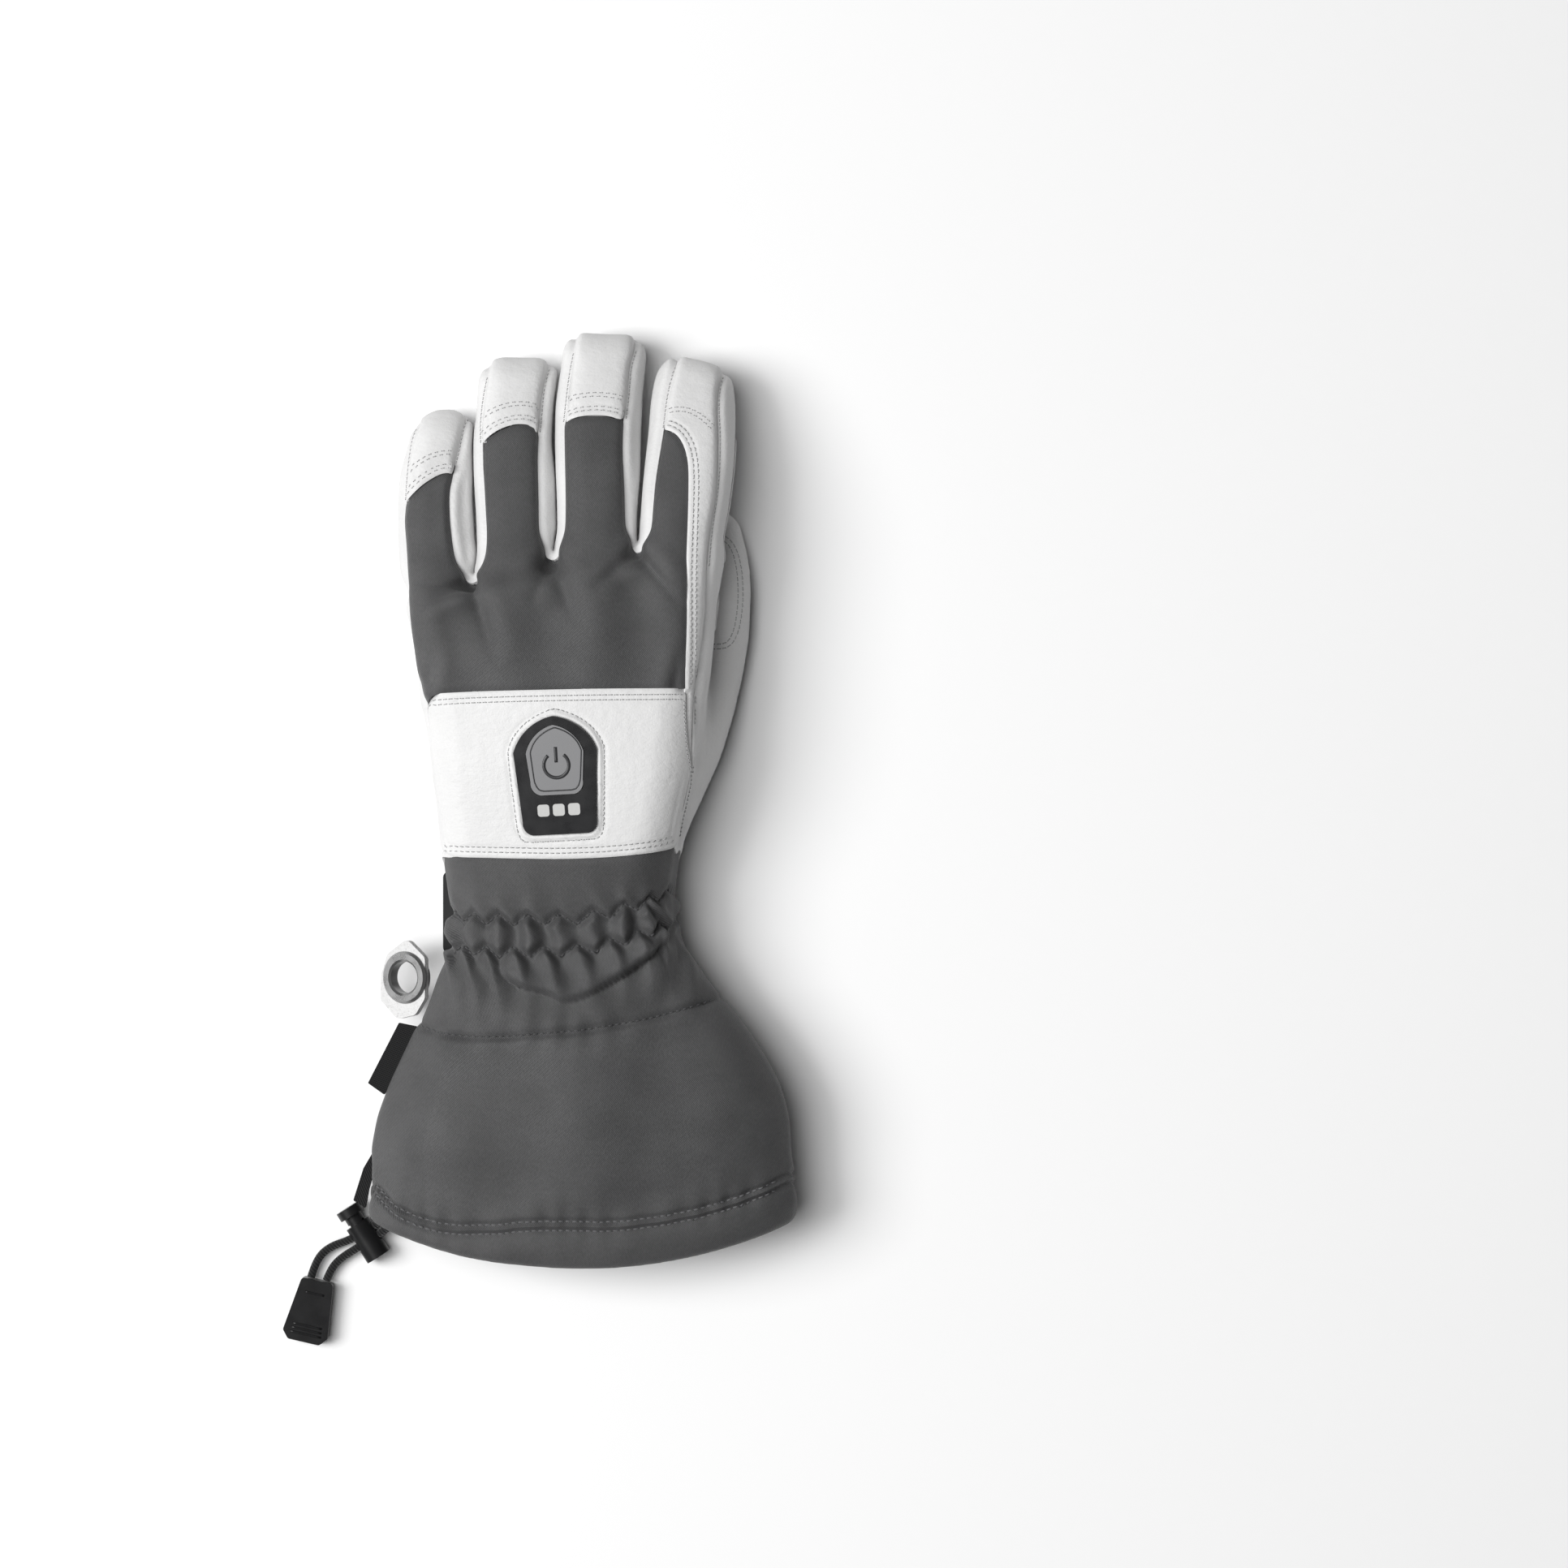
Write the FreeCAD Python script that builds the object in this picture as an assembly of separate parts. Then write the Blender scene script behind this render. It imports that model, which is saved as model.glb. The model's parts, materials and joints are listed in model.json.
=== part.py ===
import FreeCAD, Part
import math
import os
from collections import namedtuple
from FreeCAD import Placement, Rotation, Vector

# A left-hand heated ski glove lying palm down, in millimetres.
# +X points to the thumb side, +Y to the fingertips and +Z up.  The origin is on the supporting surface,
# below the centre of the glove without its drawcord.

# ---------------------------------------------------------------- driving dimensions
WRIST_Y = -21.0          # lower edge of the leather knuckle band
KNUCKLE_Y = 38.0         # upper edge of the leather knuckle band
HAND_FRONT_Y = 86.0      # where the finger tubes leave the hand
CUFF_TOP_Y = -78.0       # seam between wrist gusset and cuff
MOUTH_ARC_X = 4.0        # the mouth's edge is an arc about this point ...
MOUTH_ARC_Y = 22.0
MOUTH_ARC_RADIUS = 194.5  # ... with this radius
HEM_WIDTH = 19.0
HEM_THICKNESS = 5.0
HEM_CORD_RADIUS = MOUTH_ARC_RADIUS - 9.0
HEM_CORD_DEPTH = 2.6     # of the drawcord's centre in the hem
HAND_ROLL = 8.0          # the thumb under the index side lifts it, degrees

SHELL = 1.6              # outer fabric or leather with its backing
HAND_INSULATION = (1.9, 3.9)   # depths below the outside
HAND_LINING = (5.1, 6.4)
CUFF_LINING = (1.9, 3.2)
FINGER_ROOT_SHARE = 0.8        # of those depths, at the finger roots
THUMB_ROOT_SHARE = 0.65
FINGER_LINER = (1.8, 5.0)
THUMB_LINER = (1.8, 4.2)
HEATER_DIAMETER = 1.0
HEATER_DEPTH = 4.5       # of the heating wire's centre, below the back of the hand
JOINT_GAP = 0.3          # each soft body stops this far from its joint plane
PATCH_THICKNESS = 1.0

CORD_DIAMETER = 3.0
STRAP_WIDTH = 29.0
GATHER_ROWS_Y = (-56.0, -42.0)
STRAP_Y = -42.5
STRAP_THICKNESS = 1.2
RING_BAR = 3.6
EYELET_BORE = 6.0        # radius
EYELET_FLANGE = 9.75     # radius
TAB_THICKNESS = 2.4
TAB_DROOP = 30.0         # degrees below the horizontal, outwards
LOCK_RADIUS = 4.9
LOCK_TRAVEL = 3.0
BUTTON_TRAVEL = 0.8
BATTERY_SIZE = (58.0, 46.0, 11.0)
LEAD_DIAMETER = 1.6

# One flattened cross-section of the glove, in a plane across Y.
Section = namedtuple("Section", "y left right low high radius roll")

HAND = [
    Section(WRIST_Y, -49.5, 38.0, 9.5, 46.5, 13.0, HAND_ROLL),
    Section(10.0, -53.5, 46.0, 12.5, 51.5, 15.0, HAND_ROLL),
    Section(45.0, -57.0, 48.0, 13.5, 53.5, 15.0, HAND_ROLL),
    Section(70.0, -60.5, 50.0, 13.5, 49.5, 14.0, HAND_ROLL),
    Section(HAND_FRONT_Y, -62.5, 52.5, 14.0, 45.0, 12.0, HAND_ROLL),
]
THUMB_JOINT_Y = 46.0
THENAR = [
    Section(-14.0, 12.0, 38.5, 11.0, 28.0, 7.0, 0.0),
    Section(15.0, 16.0, 53.0, 4.0, 30.0, 7.0, 0.0),
    Section(32.0, 20.0, 59.0, 1.4, 24.0, 7.0, 0.0),
    Section(THUMB_JOINT_Y, 26.0, 61.0, 0.6, 16.2, 7.0, 0.0),
]
THUMB = [
    Section(THUMB_JOINT_Y, 26.0, 61.0, 0.6, 16.2, 7.0, 0.0),
    Section(62.0, 27.5, 63.5, 0.5, 16.2, 7.0, 0.0),
    Section(78.0, 33.0, 64.6, 0.5, 16.2, 7.0, 0.0),
    Section(92.0, 40.0, 64.8, 0.6, 16.2, 7.0, 0.0),
    Section(101.0, 45.0, 63.0, 1.6, 15.0, 6.0, 0.0),
    Section(107.0, 50.0, 60.0, 4.0, 12.5, 4.0, 0.0),
]
THUMB_SEAM_Z = 8.5       # the fabric panel ends at this height on the outer side ...
THUMB_SEAM_START = Vector(34.0, THUMB_JOINT_Y, 0.0)   # ... and at this line on the underside
THUMB_SEAM_LEAN = 16.0
WRIST = [
    Section(WRIST_Y, -49.5, 38.0, 9.5, 46.5, 13.0, HAND_ROLL),
    Section(-35.0, -48.0, 36.0, 10.5, 45.0, 13.0, 5.0),
    Section(-48.0, -47.0, 37.5, 9.0, 44.0, 13.0, 2.0),
    Section(-62.0, -48.5, 46.0, 7.0, 44.5, 14.0, 0.0),
    Section(CUFF_TOP_Y, -54.0, 58.5, 3.0, 46.0, 16.0, 0.0),
]
CUFF = [
    Section(CUFF_TOP_Y, -54.0, 58.5, 3.0, 46.0, 16.0, 0.0),
    Section(-92.0, -63.0, 69.0, 1.0, 48.5, 17.0, 0.0),
    Section(-110.0, -71.5, 78.5, 0.0, 50.0, 18.0, 0.0),
    Section(-130.0, -76.0, 81.2, 0.0, 50.0, 18.0, 0.0),
    Section(-152.0, -75.5, 82.2, 0.0, 47.0, 18.0, 0.0),
    Section(-178.0, -74.0, 80.5, 0.0, 43.0, 18.0, 0.0),
]

# Each finger: centre and width at its joint, lean of its axis, joint, cap seam, tip,
# and the height of its underside at the joint and at the tip.
Finger = namedtuple("Finger", "name x width thickness lean joint seam tip low tip_low")
FINGERS = [
    Finger("index", 41.6, 31.0, 25.5, 0.050, 109.0, 136.0, 165.6, 21.0, 2.0),
    Finger("middle", 9.0, 29.8, 25.5, 0.026, 109.0, 139.0, 173.1, 16.5, 2.0),
    Finger("ring", -22.5, 28.6, 25.0, 0.016, 107.0, 135.0, 164.1, 12.0, 1.5),
    Finger("little", -51.4, 25.6, 24.0, 0.066, 99.0, 117.0, 145.2, 8.0, 1.0),
]

# Badge of the heater control: outline in its own plane, apex towards the fingers.
BADGE_POSITION = (-5.0, 9.0)
BADGE_YAW = 3.0
BADGE_PITCH = 6.5
BADGE_SINK = 0.6
BADGE_HALF_WIDTH = 15.4
BADGE_LOW = -21.6
BADGE_SHOULDER = 9.0
BADGE_APEX = 21.8
BUTTON_HALF_WIDTH = 10.7
BUTTON_LOW = -7.0
BUTTON_SHOULDER = 8.5
BUTTON_APEX = 18.6
BUTTON_GAP = 0.2
WINDOW_SIZE = 4.4
WINDOW_PITCH = 5.7
WINDOW_V = -12.6

# Eyelet tab, hinged where it is sewn to the little-finger side of the wrist.
TAB_ROOT = Vector(-53.6, -66.3, 23.6)
TAB_REACH = 10.5         # from the root line to the eyelet's centre

# Cord lock on the drawcord, lying on its side beside the mouth.
LOCK_CAP = Vector(-86.1, -153.3, 5.1)
LOCK_END = Vector(-74.4, -171.6, 5.1)
STRAND_PITCH = 3.6
# Routes of the two drawcord ends, from the hem through the lock to the pull.
STRAND_ROUTES = {
    "drawcord_upper": [
        Vector(-72.2, -157.1, 7.4), Vector(-77.0, -160.6, 5.5), Vector(-84.6, -165.2, 4.9),
        Vector(-93.5, -168.3, 3.6), Vector(-98.2, -173.4, 3.4), Vector(-100.0, -179.6, 3.3),
    ],
    "drawcord_lower": [
        Vector(-70.2, -160.2, 7.4), Vector(-75.2, -163.7, 5.5), Vector(-82.4, -168.4, 4.9),
        Vector(-88.9, -172.4, 3.6), Vector(-92.6, -176.6, 3.4), Vector(-94.2, -180.8, 3.3),
    ],
}
PULL_TOP = Vector(-97.3, -180.6, 3.3)
PULL_END = Vector(-102.6, -203.6, 3.3)
PULL_THICKNESS = 6.2

BIG = 600.0


# ---------------------------------------------------------------- building blocks
def outline_wire(section):
    """Rounded rectangle of one cross-section, turned by its roll about its own centre."""
    centre = Vector((section.left + section.right) / 2, section.y, (section.low + section.high) / 2)
    half_w = (section.right - section.left) / 2
    half_h = (section.high - section.low) / 2
    radius = min(section.radius, half_w - 0.2, half_h - 0.2)
    bevel = radius * (1 - math.sqrt(0.5))

    def at(x, z):
        return centre + Vector(x, 0, z)

    edges = []
    for sx, sz in ((1, 1), (-1, 1), (-1, -1), (1, -1)):
        along_side = at(sx * half_w, sz * (half_h - radius))
        along_top = at(sx * (half_w - radius), sz * half_h)
        corner = at(sx * (half_w - bevel), sz * (half_h - bevel))
        first, last = (along_side, along_top) if sx * sz > 0 else (along_top, along_side)
        edges.append(Part.Arc(first, corner, last).toShape())
    sides = []
    for number, arc in enumerate(edges):
        following = edges[(number + 1) % 4]
        start = arc.Vertexes[-1].Point
        end = following.Vertexes[0].Point
        sides.extend([arc, Part.makeLine(start, end)])
    wire = Part.Wire(sides)
    wire.rotate(centre, Vector(0, 1, 0), -section.roll)
    return wire


def inset(section, depth):
    return section._replace(
        left=section.left + depth, right=section.right - depth,
        low=section.low + depth, high=section.high - depth,
        radius=max(section.radius - depth, 1.5),
    )


def loft(sections, depth=0.0):
    """Solid through the sections, at a depth below the outside."""
    wires = [outline_wire(inset(s, depth)) for s in sections]
    return Part.makeLoft(wires, True, True)


def shortened(sections, depth):
    """The sections with the last one, the closed end, moved back by a depth."""
    return sections[:-1] + [sections[-1]._replace(y=sections[-1].y - depth)]


def opened(sections, before=0.0, after=0.0):
    """The sections with a copy of the first or last beyond it, so that a cavity runs out of its shell."""
    first = [sections[0]._replace(y=sections[0].y - before)] if before else []
    last = [sections[-1]._replace(y=sections[-1].y + after)] if after else []
    return first + sections + last


def tube(sections, outer_depth, inner_depth):
    """The layer between two depths, open at both ends."""
    return loft(sections, outer_depth).cut(loft(opened(sections, before=-2.0, after=-2.0), inner_depth))


def slab(y_from, y_to, x_from=-BIG, x_to=BIG, z_from=-BIG, z_to=BIG):
    return Part.makeBox(x_to - x_from, y_to - y_from, z_to - z_from, Vector(x_from, y_from, z_from))


def above(point, roll=0.0, pitch=0.0):
    """Everything above a plane through a point, rolled about Y and pitched about X."""
    box = Part.makeBox(2 * BIG, 2 * BIG, BIG, Vector(-BIG, -BIG, 0))
    box.Placement = Placement(point, Rotation(Vector(0, 1, 0), -roll) * Rotation(Vector(1, 0, 0), pitch))
    return box


def joined(shapes):
    result = shapes[0]
    for shape in shapes[1:]:
        result = result.fuse(shape)
    return result


def prism(wire, z_from, z_to):
    face = Part.Face(wire)
    face.translate(Vector(0, 0, z_from))
    return face.extrude(Vector(0, 0, z_to - z_from))


def rounded_plate(points, radius, z_from, z_to):
    """Flat plate with the given corners, all its upright edges rounded."""
    corners = [Vector(x, y, 0) for x, y in points]
    plate = prism(Part.makePolygon(corners + corners[:1]), z_from, z_to)
    upright = [e for e in plate.Edges if abs(e.Vertexes[0].Z - e.Vertexes[-1].Z) > 1e-6]
    return plate.makeFillet(radius, upright)


def revolved(points):
    """Ring from an (r, z) outline turned about Z."""
    outline = [Vector(r, 0, z) for r, z in points]
    face = Part.Face(Part.makePolygon(outline + outline[:1]))
    return face.revolve(Vector(0, 0, 0), Vector(0, 0, 1), 360)


def placed(shape, position, rotation=Rotation()):
    moved = shape.copy()
    moved.Placement = Placement(position, rotation).multiply(moved.Placement)
    return moved


def route_tube(points, radius):
    """Round tube along straight runs joined by tangent arcs."""
    lines = []
    start = points[0]
    for before, corner, after in zip(points, points[1:], points[2:]):
        into = (corner - before).normalize()
        out = (after - corner).normalize()
        turn = into.getAngle(out)
        shorter = min((corner - before).Length, (after - corner).Length)
        reach = 0.45 * shorter
        bend = reach / math.tan(turn / 2)
        entry = corner - into * reach
        leave = corner + out * reach
        inward = (out - into).normalize()
        middle = corner + inward * (math.hypot(bend, reach) - bend)
        lines.append(Part.makeLine(start, entry))
        lines.append(Part.Arc(entry, middle, leave).toShape())
        start = leave
    lines.append(Part.makeLine(start, points[-1]))
    path = Part.Wire(lines)
    circle = Part.Wire(Part.makeCircle(radius, points[0], points[1] - points[0]))
    return path.makePipeShell([circle], True, False)


# ---------------------------------------------------------------- fingers
def finger_sections(finger, from_y):
    """Cross-sections of a finger tube from from_y to its flattened tip."""
    slope = (finger.tip_low - finger.low) / (finger.tip - finger.joint)

    def at(y, width_share, low_extra, thickness_share):
        centre = finger.x + finger.lean * (y - finger.joint)
        half = finger.width * width_share / 2
        low = finger.low + slope * max(y - finger.joint, 0) + low_extra
        high = low + finger.thickness * thickness_share
        return Section(y, centre - half, centre + half, low, high, 9.0, 0.0)

    body = finger.tip - finger.joint
    return [
        at(from_y, 1.0, 0.0, 1.0),
        at(finger.joint + 0.45 * body, 1.0, 0.0, 1.0),
        at(finger.tip - 9.0, 0.95, 0.4, 0.92),
        at(finger.tip, 0.74, 3.0, 0.46),
    ]


def stub_sections(finger):
    """Straight root of a finger tube, from inside the hand to the finger's joint."""
    half = finger.width / 2
    back = 72.0
    return [
        Section(y, finger.x - half + finger.lean * (y - finger.joint),
                finger.x + half + finger.lean * (y - finger.joint),
                finger.low, finger.low + finger.thickness, 9.0, 0.0)
        for y in (back, finger.joint - JOINT_GAP)
    ]


def heater_loop(finger):
    """Hairpin of heating wire under the back of a finger."""
    slope = (finger.tip_low - finger.low) / (finger.tip - finger.joint)
    half_gap = 5.0
    start_y = finger.joint + 2.0
    turn_y = finger.tip - 22.0

    def at(dx, y):
        z = finger.low + slope * (y - finger.joint) + finger.thickness - FINGER_LINER[0] - 1.3
        return Vector(finger.x + finger.lean * (y - finger.joint) + dx, y, z)

    corners = [at(-half_gap, start_y), at(-half_gap, turn_y), at(half_gap, turn_y), at(half_gap, start_y)]
    return route_tube(corners, HEATER_DIAMETER / 2), route_tube(corners, HEATER_DIAMETER / 2 + 0.2)


def build_finger(finger):
    """Back, tip cap, palm side, liner and heating wire of one finger."""
    sections = finger_sections(finger, finger.joint + JOINT_GAP)
    open_sections = opened(sections, before=4.0)
    shell = loft(sections).cut(loft(shortened(open_sections, SHELL), SHELL))
    pitch = math.degrees(math.atan2(finger.tip_low - finger.low, finger.tip - finger.joint))
    side_seam = Vector(finger.x, finger.joint, finger.low + 0.56 * finger.thickness)
    upper = shell.common(above(side_seam, 0.0, pitch))
    lower = shell.cut(above(side_seam, 0.0, pitch))

    outer_depth, inner_depth = FINGER_LINER
    liner = loft(shortened(sections, outer_depth), outer_depth)
    liner = liner.cut(loft(shortened(open_sections, inner_depth), inner_depth))
    wire, wire_groove = heater_loop(finger)
    return {
        finger.name + "_back": upper.common(slab(0, finger.seam)),
        finger.name + "_tip_cap": upper.common(slab(finger.seam, BIG)),
        finger.name + "_palm": lower,
        finger.name + "_liner": liner.cut(wire_groove),
        finger.name + "_heater": wire,
    }


def build_thumb():
    """Thumb beyond its joint: fabric panel outside, leather inside, liner and heating wire."""
    sections = [THUMB[0]._replace(y=THUMB_JOINT_Y + JOINT_GAP)] + THUMB[1:]
    open_sections = opened(sections, before=4.0)
    shell = loft(sections).cut(loft(shortened(open_sections, SHELL), SHELL))
    outer_depth, inner_depth = THUMB_LINER
    liner = loft(shortened(sections, outer_depth), outer_depth)
    liner = liner.cut(loft(shortened(open_sections, inner_depth), inner_depth))
    fabric_region = slab(-BIG, BIG, 0, BIG, -BIG, THUMB_SEAM_Z)
    fabric_region.Placement = Placement(THUMB_SEAM_START, Rotation(Vector(0, 0, 1), -THUMB_SEAM_LEAN))
    corners = [
        Vector(40.0, 50.0, 2.9), Vector(47.0, 84.0, 2.9),
        Vector(57.0, 84.0, 2.9), Vector(54.0, 50.0, 2.9),
    ]
    return {
        "thumb_fabric": shell.common(fabric_region),
        "thumb_leather": shell.cut(fabric_region),
        "thumb_liner": liner.cut(route_tube(corners, HEATER_DIAMETER / 2 + 0.2)),
        "thumb_heater": route_tube(corners, HEATER_DIAMETER / 2),
    }


# ---------------------------------------------------------------- hand
def hand_solid(depth, extend=0.0):
    """Hand, finger roots and thumb root as one solid; the roots are thinner than the palm."""
    hand = loft(opened(shortened(HAND, depth), before=extend), depth)
    roots = [loft(opened(stub_sections(f), after=extend), depth * FINGER_ROOT_SHARE) for f in FINGERS]
    thumb_depth = depth * THUMB_ROOT_SHARE
    first = THENAR[0]._replace(y=THENAR[0].y + thumb_depth)
    last = THENAR[-1]._replace(y=THUMB_JOINT_Y - JOINT_GAP)
    thenar = loft(opened([first] + THENAR[1:-1] + [last], after=extend), thumb_depth)
    return joined([hand, thenar] + roots)


def layer(outer_depth, inner_depth):
    return hand_solid(outer_depth).cut(hand_solid(inner_depth, 3.0))


def badge_placement():
    """Frame of the control badge, lying in the back of the hand."""
    x, y = BADGE_POSITION
    middle = (HAND[1].left + HAND[1].right) / 2
    z = HAND[1].high + (x - middle) * math.tan(math.radians(HAND_ROLL)) - BADGE_SINK
    tilt = Rotation(Vector(0, 1, 0), -HAND_ROLL) * Rotation(Vector(1, 0, 0), BADGE_PITCH)
    return Placement(Vector(x, y, z), tilt * Rotation(Vector(0, 0, 1), BADGE_YAW))


def shield_wire(half_width, low, shoulder, apex, grow=0.0):
    """Pointed-arch outline: flat foot, upright sides and two arcs that meet at the apex."""
    half = half_width + grow
    foot = low - grow
    top = apex + grow
    foot_side = half * 0.86
    arch_mid = Vector(half * 0.66, shoulder + (top - shoulder) * 0.62, 0)
    right = [
        Part.makeLine(Vector(0, foot, 0), Vector(foot_side - 3, foot, 0)),
        Part.Arc(Vector(foot_side - 3, foot, 0), Vector(foot_side - 0.4, foot + 1.6, 0),
                 Vector(foot_side + 0.5, foot + 5, 0)).toShape(),
        Part.makeLine(Vector(foot_side + 0.5, foot + 5, 0), Vector(half, shoulder, 0)),
        Part.Arc(Vector(half, shoulder, 0), arch_mid, Vector(0, top, 0)).toShape(),
    ]
    left = []
    for edge in reversed(right):
        mirrored = edge.copy().mirror(Vector(0, 0, 0), Vector(1, 0, 0))
        left.append(mirrored)
    return Part.Wire(Part.__sortEdges__(right + left))


def badge_outline(grow=0.0):
    return shield_wire(BADGE_HALF_WIDTH, BADGE_LOW, BADGE_SHOULDER, BADGE_APEX, grow)


def button_outline(grow=0.0):
    return shield_wire(BUTTON_HALF_WIDTH, BUTTON_LOW, BUTTON_SHOULDER, BUTTON_APEX, grow)


def window_plates(grow, z_from, z_to):
    half = WINDOW_SIZE / 2 + grow
    corners = [(-half, -half), (half, -half), (half, half), (-half, half)]
    plate = rounded_plate(corners, 1.1, z_from, z_to)
    return [placed(plate, Vector(n * WINDOW_PITCH, WINDOW_V, 0)) for n in (-1, 0, 1)]


def build_controller():
    """Heater control: housing, push button, circuit board and three light windows."""
    frame = badge_placement()
    housing = prism(badge_outline(), -3.6, 2.0)
    housing = housing.cut(prism(button_outline(BUTTON_GAP), -2.4, 2.5))
    for pocket in window_plates(0.02, 0.4, 2.5):
        housing = housing.cut(pocket)
    button = prism(button_outline(), 0.0, 2.3)
    board = prism(button_outline(-0.8), -2.4, -1.6)
    dome = revolved([(0, -1.6), (2.6, -1.6), (1.6, -1.0), (0, -1.0)])
    shapes = {
        "controller_housing": housing,
        "controller_button": button,
        "controller_board": board.fuse(dome),
        "controller_lights": Part.makeCompound(window_plates(0.0, 0.4, 2.1)),
    }
    return {name: placed(shape, frame.Base, frame.Rotation) for name, shape in shapes.items()}


def hand_heater_routes():
    """Heating wires that fan out from below the control to the finger roots."""
    def at(x, y):
        sections = HAND
        lower = max((s for s in sections if s.y <= y), key=lambda s: s.y)
        upper = min((s for s in sections if s.y >= y), key=lambda s: s.y)
        share = 0.0 if upper.y == lower.y else (y - lower.y) / (upper.y - lower.y)
        high = lower.high + share * (upper.high - lower.high)
        lower_sum = lower.left + lower.right
        middle = (lower_sum + share * (upper.left + upper.right - lower_sum)) / 2
        return Vector(x, y, high + (x - middle) * math.tan(math.radians(HAND_ROLL)) - HEATER_DEPTH)

    return [[at(-5.0 + 2.0 * n, 33.0), at(-5.0 + 7.0 * n, 45.0), at(x, 60.0)]
            for n, x in ((-1.5, -40.0), (-0.5, -19.0), (0.6, 9.0), (1.6, 34.0))]


def palm_patch(outside):
    """Reinforcement sewn on the palm, from the wrist's little-finger side to below the thumb."""
    skin = loft(HAND, -PATCH_THICKNESS).cut(outside)
    below = above(Vector(-5.0, 20.0, 25.0), HAND_ROLL)
    region = Part.makePolygon([Vector(-37, -20, 0), Vector(14, -20, 0), Vector(17, 38, 0), Vector(24, 42, 0),
                               Vector(24, 73, 0), Vector(-8, 71, 0), Vector(-28, 58, 0), Vector(-37, 34, 0),
                               Vector(-37, -20, 0)])
    return skin.cut(below).common(prism(region, -10.0, BIG))


def build_hand():
    """Outer panels, insulation and heating wires of the hand, and its stretch of lining."""
    outside = hand_solid(0.0)
    shell = outside.cut(hand_solid(SHELL, 3.0))
    side_seam = Vector(-5.0, 20.0, 35.5)
    upper = shell.common(above(side_seam, HAND_ROLL))
    lower = shell.cut(above(side_seam, HAND_ROLL))
    strip_region = above(Vector(46.5, 30.0, 50.0), -68.0)
    side_strip = upper.common(slab(KNUCKLE_Y, BIG)).common(strip_region)
    back = upper.common(slab(KNUCKLE_Y, BIG)).cut(strip_region)
    band = upper.common(slab(-BIG, KNUCKLE_Y))

    frame = badge_placement()
    recess = placed(prism(badge_outline(0.3), -4.0, 4.0), frame.Base, frame.Rotation)
    routes = hand_heater_routes()
    wires = joined([route_tube(r, HEATER_DIAMETER / 2) for r in routes])
    grooves = joined([route_tube(r, HEATER_DIAMETER / 2 + 0.2) for r in routes])
    lead_channel = slab(-60.0, -8.0, -8.5, -1.5, 40.0, 60.0)
    insulation = layer(*HAND_INSULATION).cut(recess).cut(grooves).cut(lead_channel)
    lining = layer(*HAND_LINING).cut(grooves)
    return {
        "back_panel": back,
        "knuckle_band": band.cut(recess),
        "index_side_strip": side_strip,
        "palm_panel": lower,
        "palm_patch": palm_patch(outside),
        "hand_insulation": insulation,
        "hand_heater": wires,
    }, lining


# ---------------------------------------------------------------- wrist and cuff
def mouth_cylinder(radius):
    return Part.makeCylinder(radius, 2 * BIG, Vector(MOUTH_ARC_X, MOUTH_ARC_Y, -BIG))


def build_wrist():
    """Gusset with its two gathering elastics, and the wrist's stretch of lining."""
    gusset = tube(WRIST, 0.0, SHELL)
    band = tube(WRIST, 1.7, 2.7)
    elastics = [band.common(slab(y - 3.0, y + 3.0)) for y in GATHER_ROWS_Y]
    lining = tube(WRIST, *HAND_LINING)
    return {
        "wrist_gusset": gusset,
        "gather_elastics": Part.makeCompound(elastics),
    }, lining


def build_cuff():
    """Cuff, the hem that closes it with the drawcord inside, and the cuff's stretch of lining."""
    above_hem = mouth_cylinder(MOUTH_ARC_RADIUS - HEM_WIDTH)
    shell = tube(CUFF, 0.0, SHELL).common(above_hem)
    lining = tube(CUFF, *CUFF_LINING).common(above_hem)
    hem = tube(CUFF, 0.0, HEM_THICKNESS).common(mouth_cylinder(MOUTH_ARC_RADIUS)).cut(above_hem)

    def ring_in_hem(clearance):
        half = CORD_DIAMETER / 2 + clearance
        ring = tube(CUFF, HEM_CORD_DEPTH - half, HEM_CORD_DEPTH + half)
        ring = ring.common(mouth_cylinder(HEM_CORD_RADIUS + half))
        return ring.cut(mouth_cylinder(HEM_CORD_RADIUS - half))

    return {
        "cuff_shell": shell,
        "cuff_hem": hem.cut(ring_in_hem(0.1)),
        "hem_drawcord": ring_in_hem(0.0),
    }, lining


def build_battery():
    """Battery in its pocket under the back of the cuff, with its lead to the control."""
    length, width, height = BATTERY_SIZE
    corner = Vector(-24.0, -146.0, 32.6)
    battery = Part.makeBox(length, width, height, corner)
    battery = battery.makeFillet(2.5, battery.Edges)
    pocket = Part.makeBox(length + 2.4, width + 2.4, height + 2.4, corner - Vector(1.2, 1.2, 1.2))
    pocket = pocket.makeFillet(2.5, pocket.Edges)
    hollow = Part.makeBox(length + 0.4, width + 0.4, height + 0.4, corner - Vector(0.2, 0.2, 0.2))
    lead_start = Vector(4.0, corner.y + width + 1.3, 39.0)
    route = [lead_start, Vector(2.5, -89.0, 39.2), Vector(0.5, -78.0, 42.1), Vector(-1.5, -62.0, 40.9),
             Vector(-3.5, -48.0, 40.1), Vector(-5.2, -35.0, 41.1), Vector(-5.4, -22.0, 42.5),
             Vector(-5.0, -8.0, 45.0)]
    return {
        "battery_pack": battery,
        "battery_pocket": pocket.cut(hollow),
        "battery_lead": route_tube(route, LEAD_DIAMETER / 2),
    }


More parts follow.
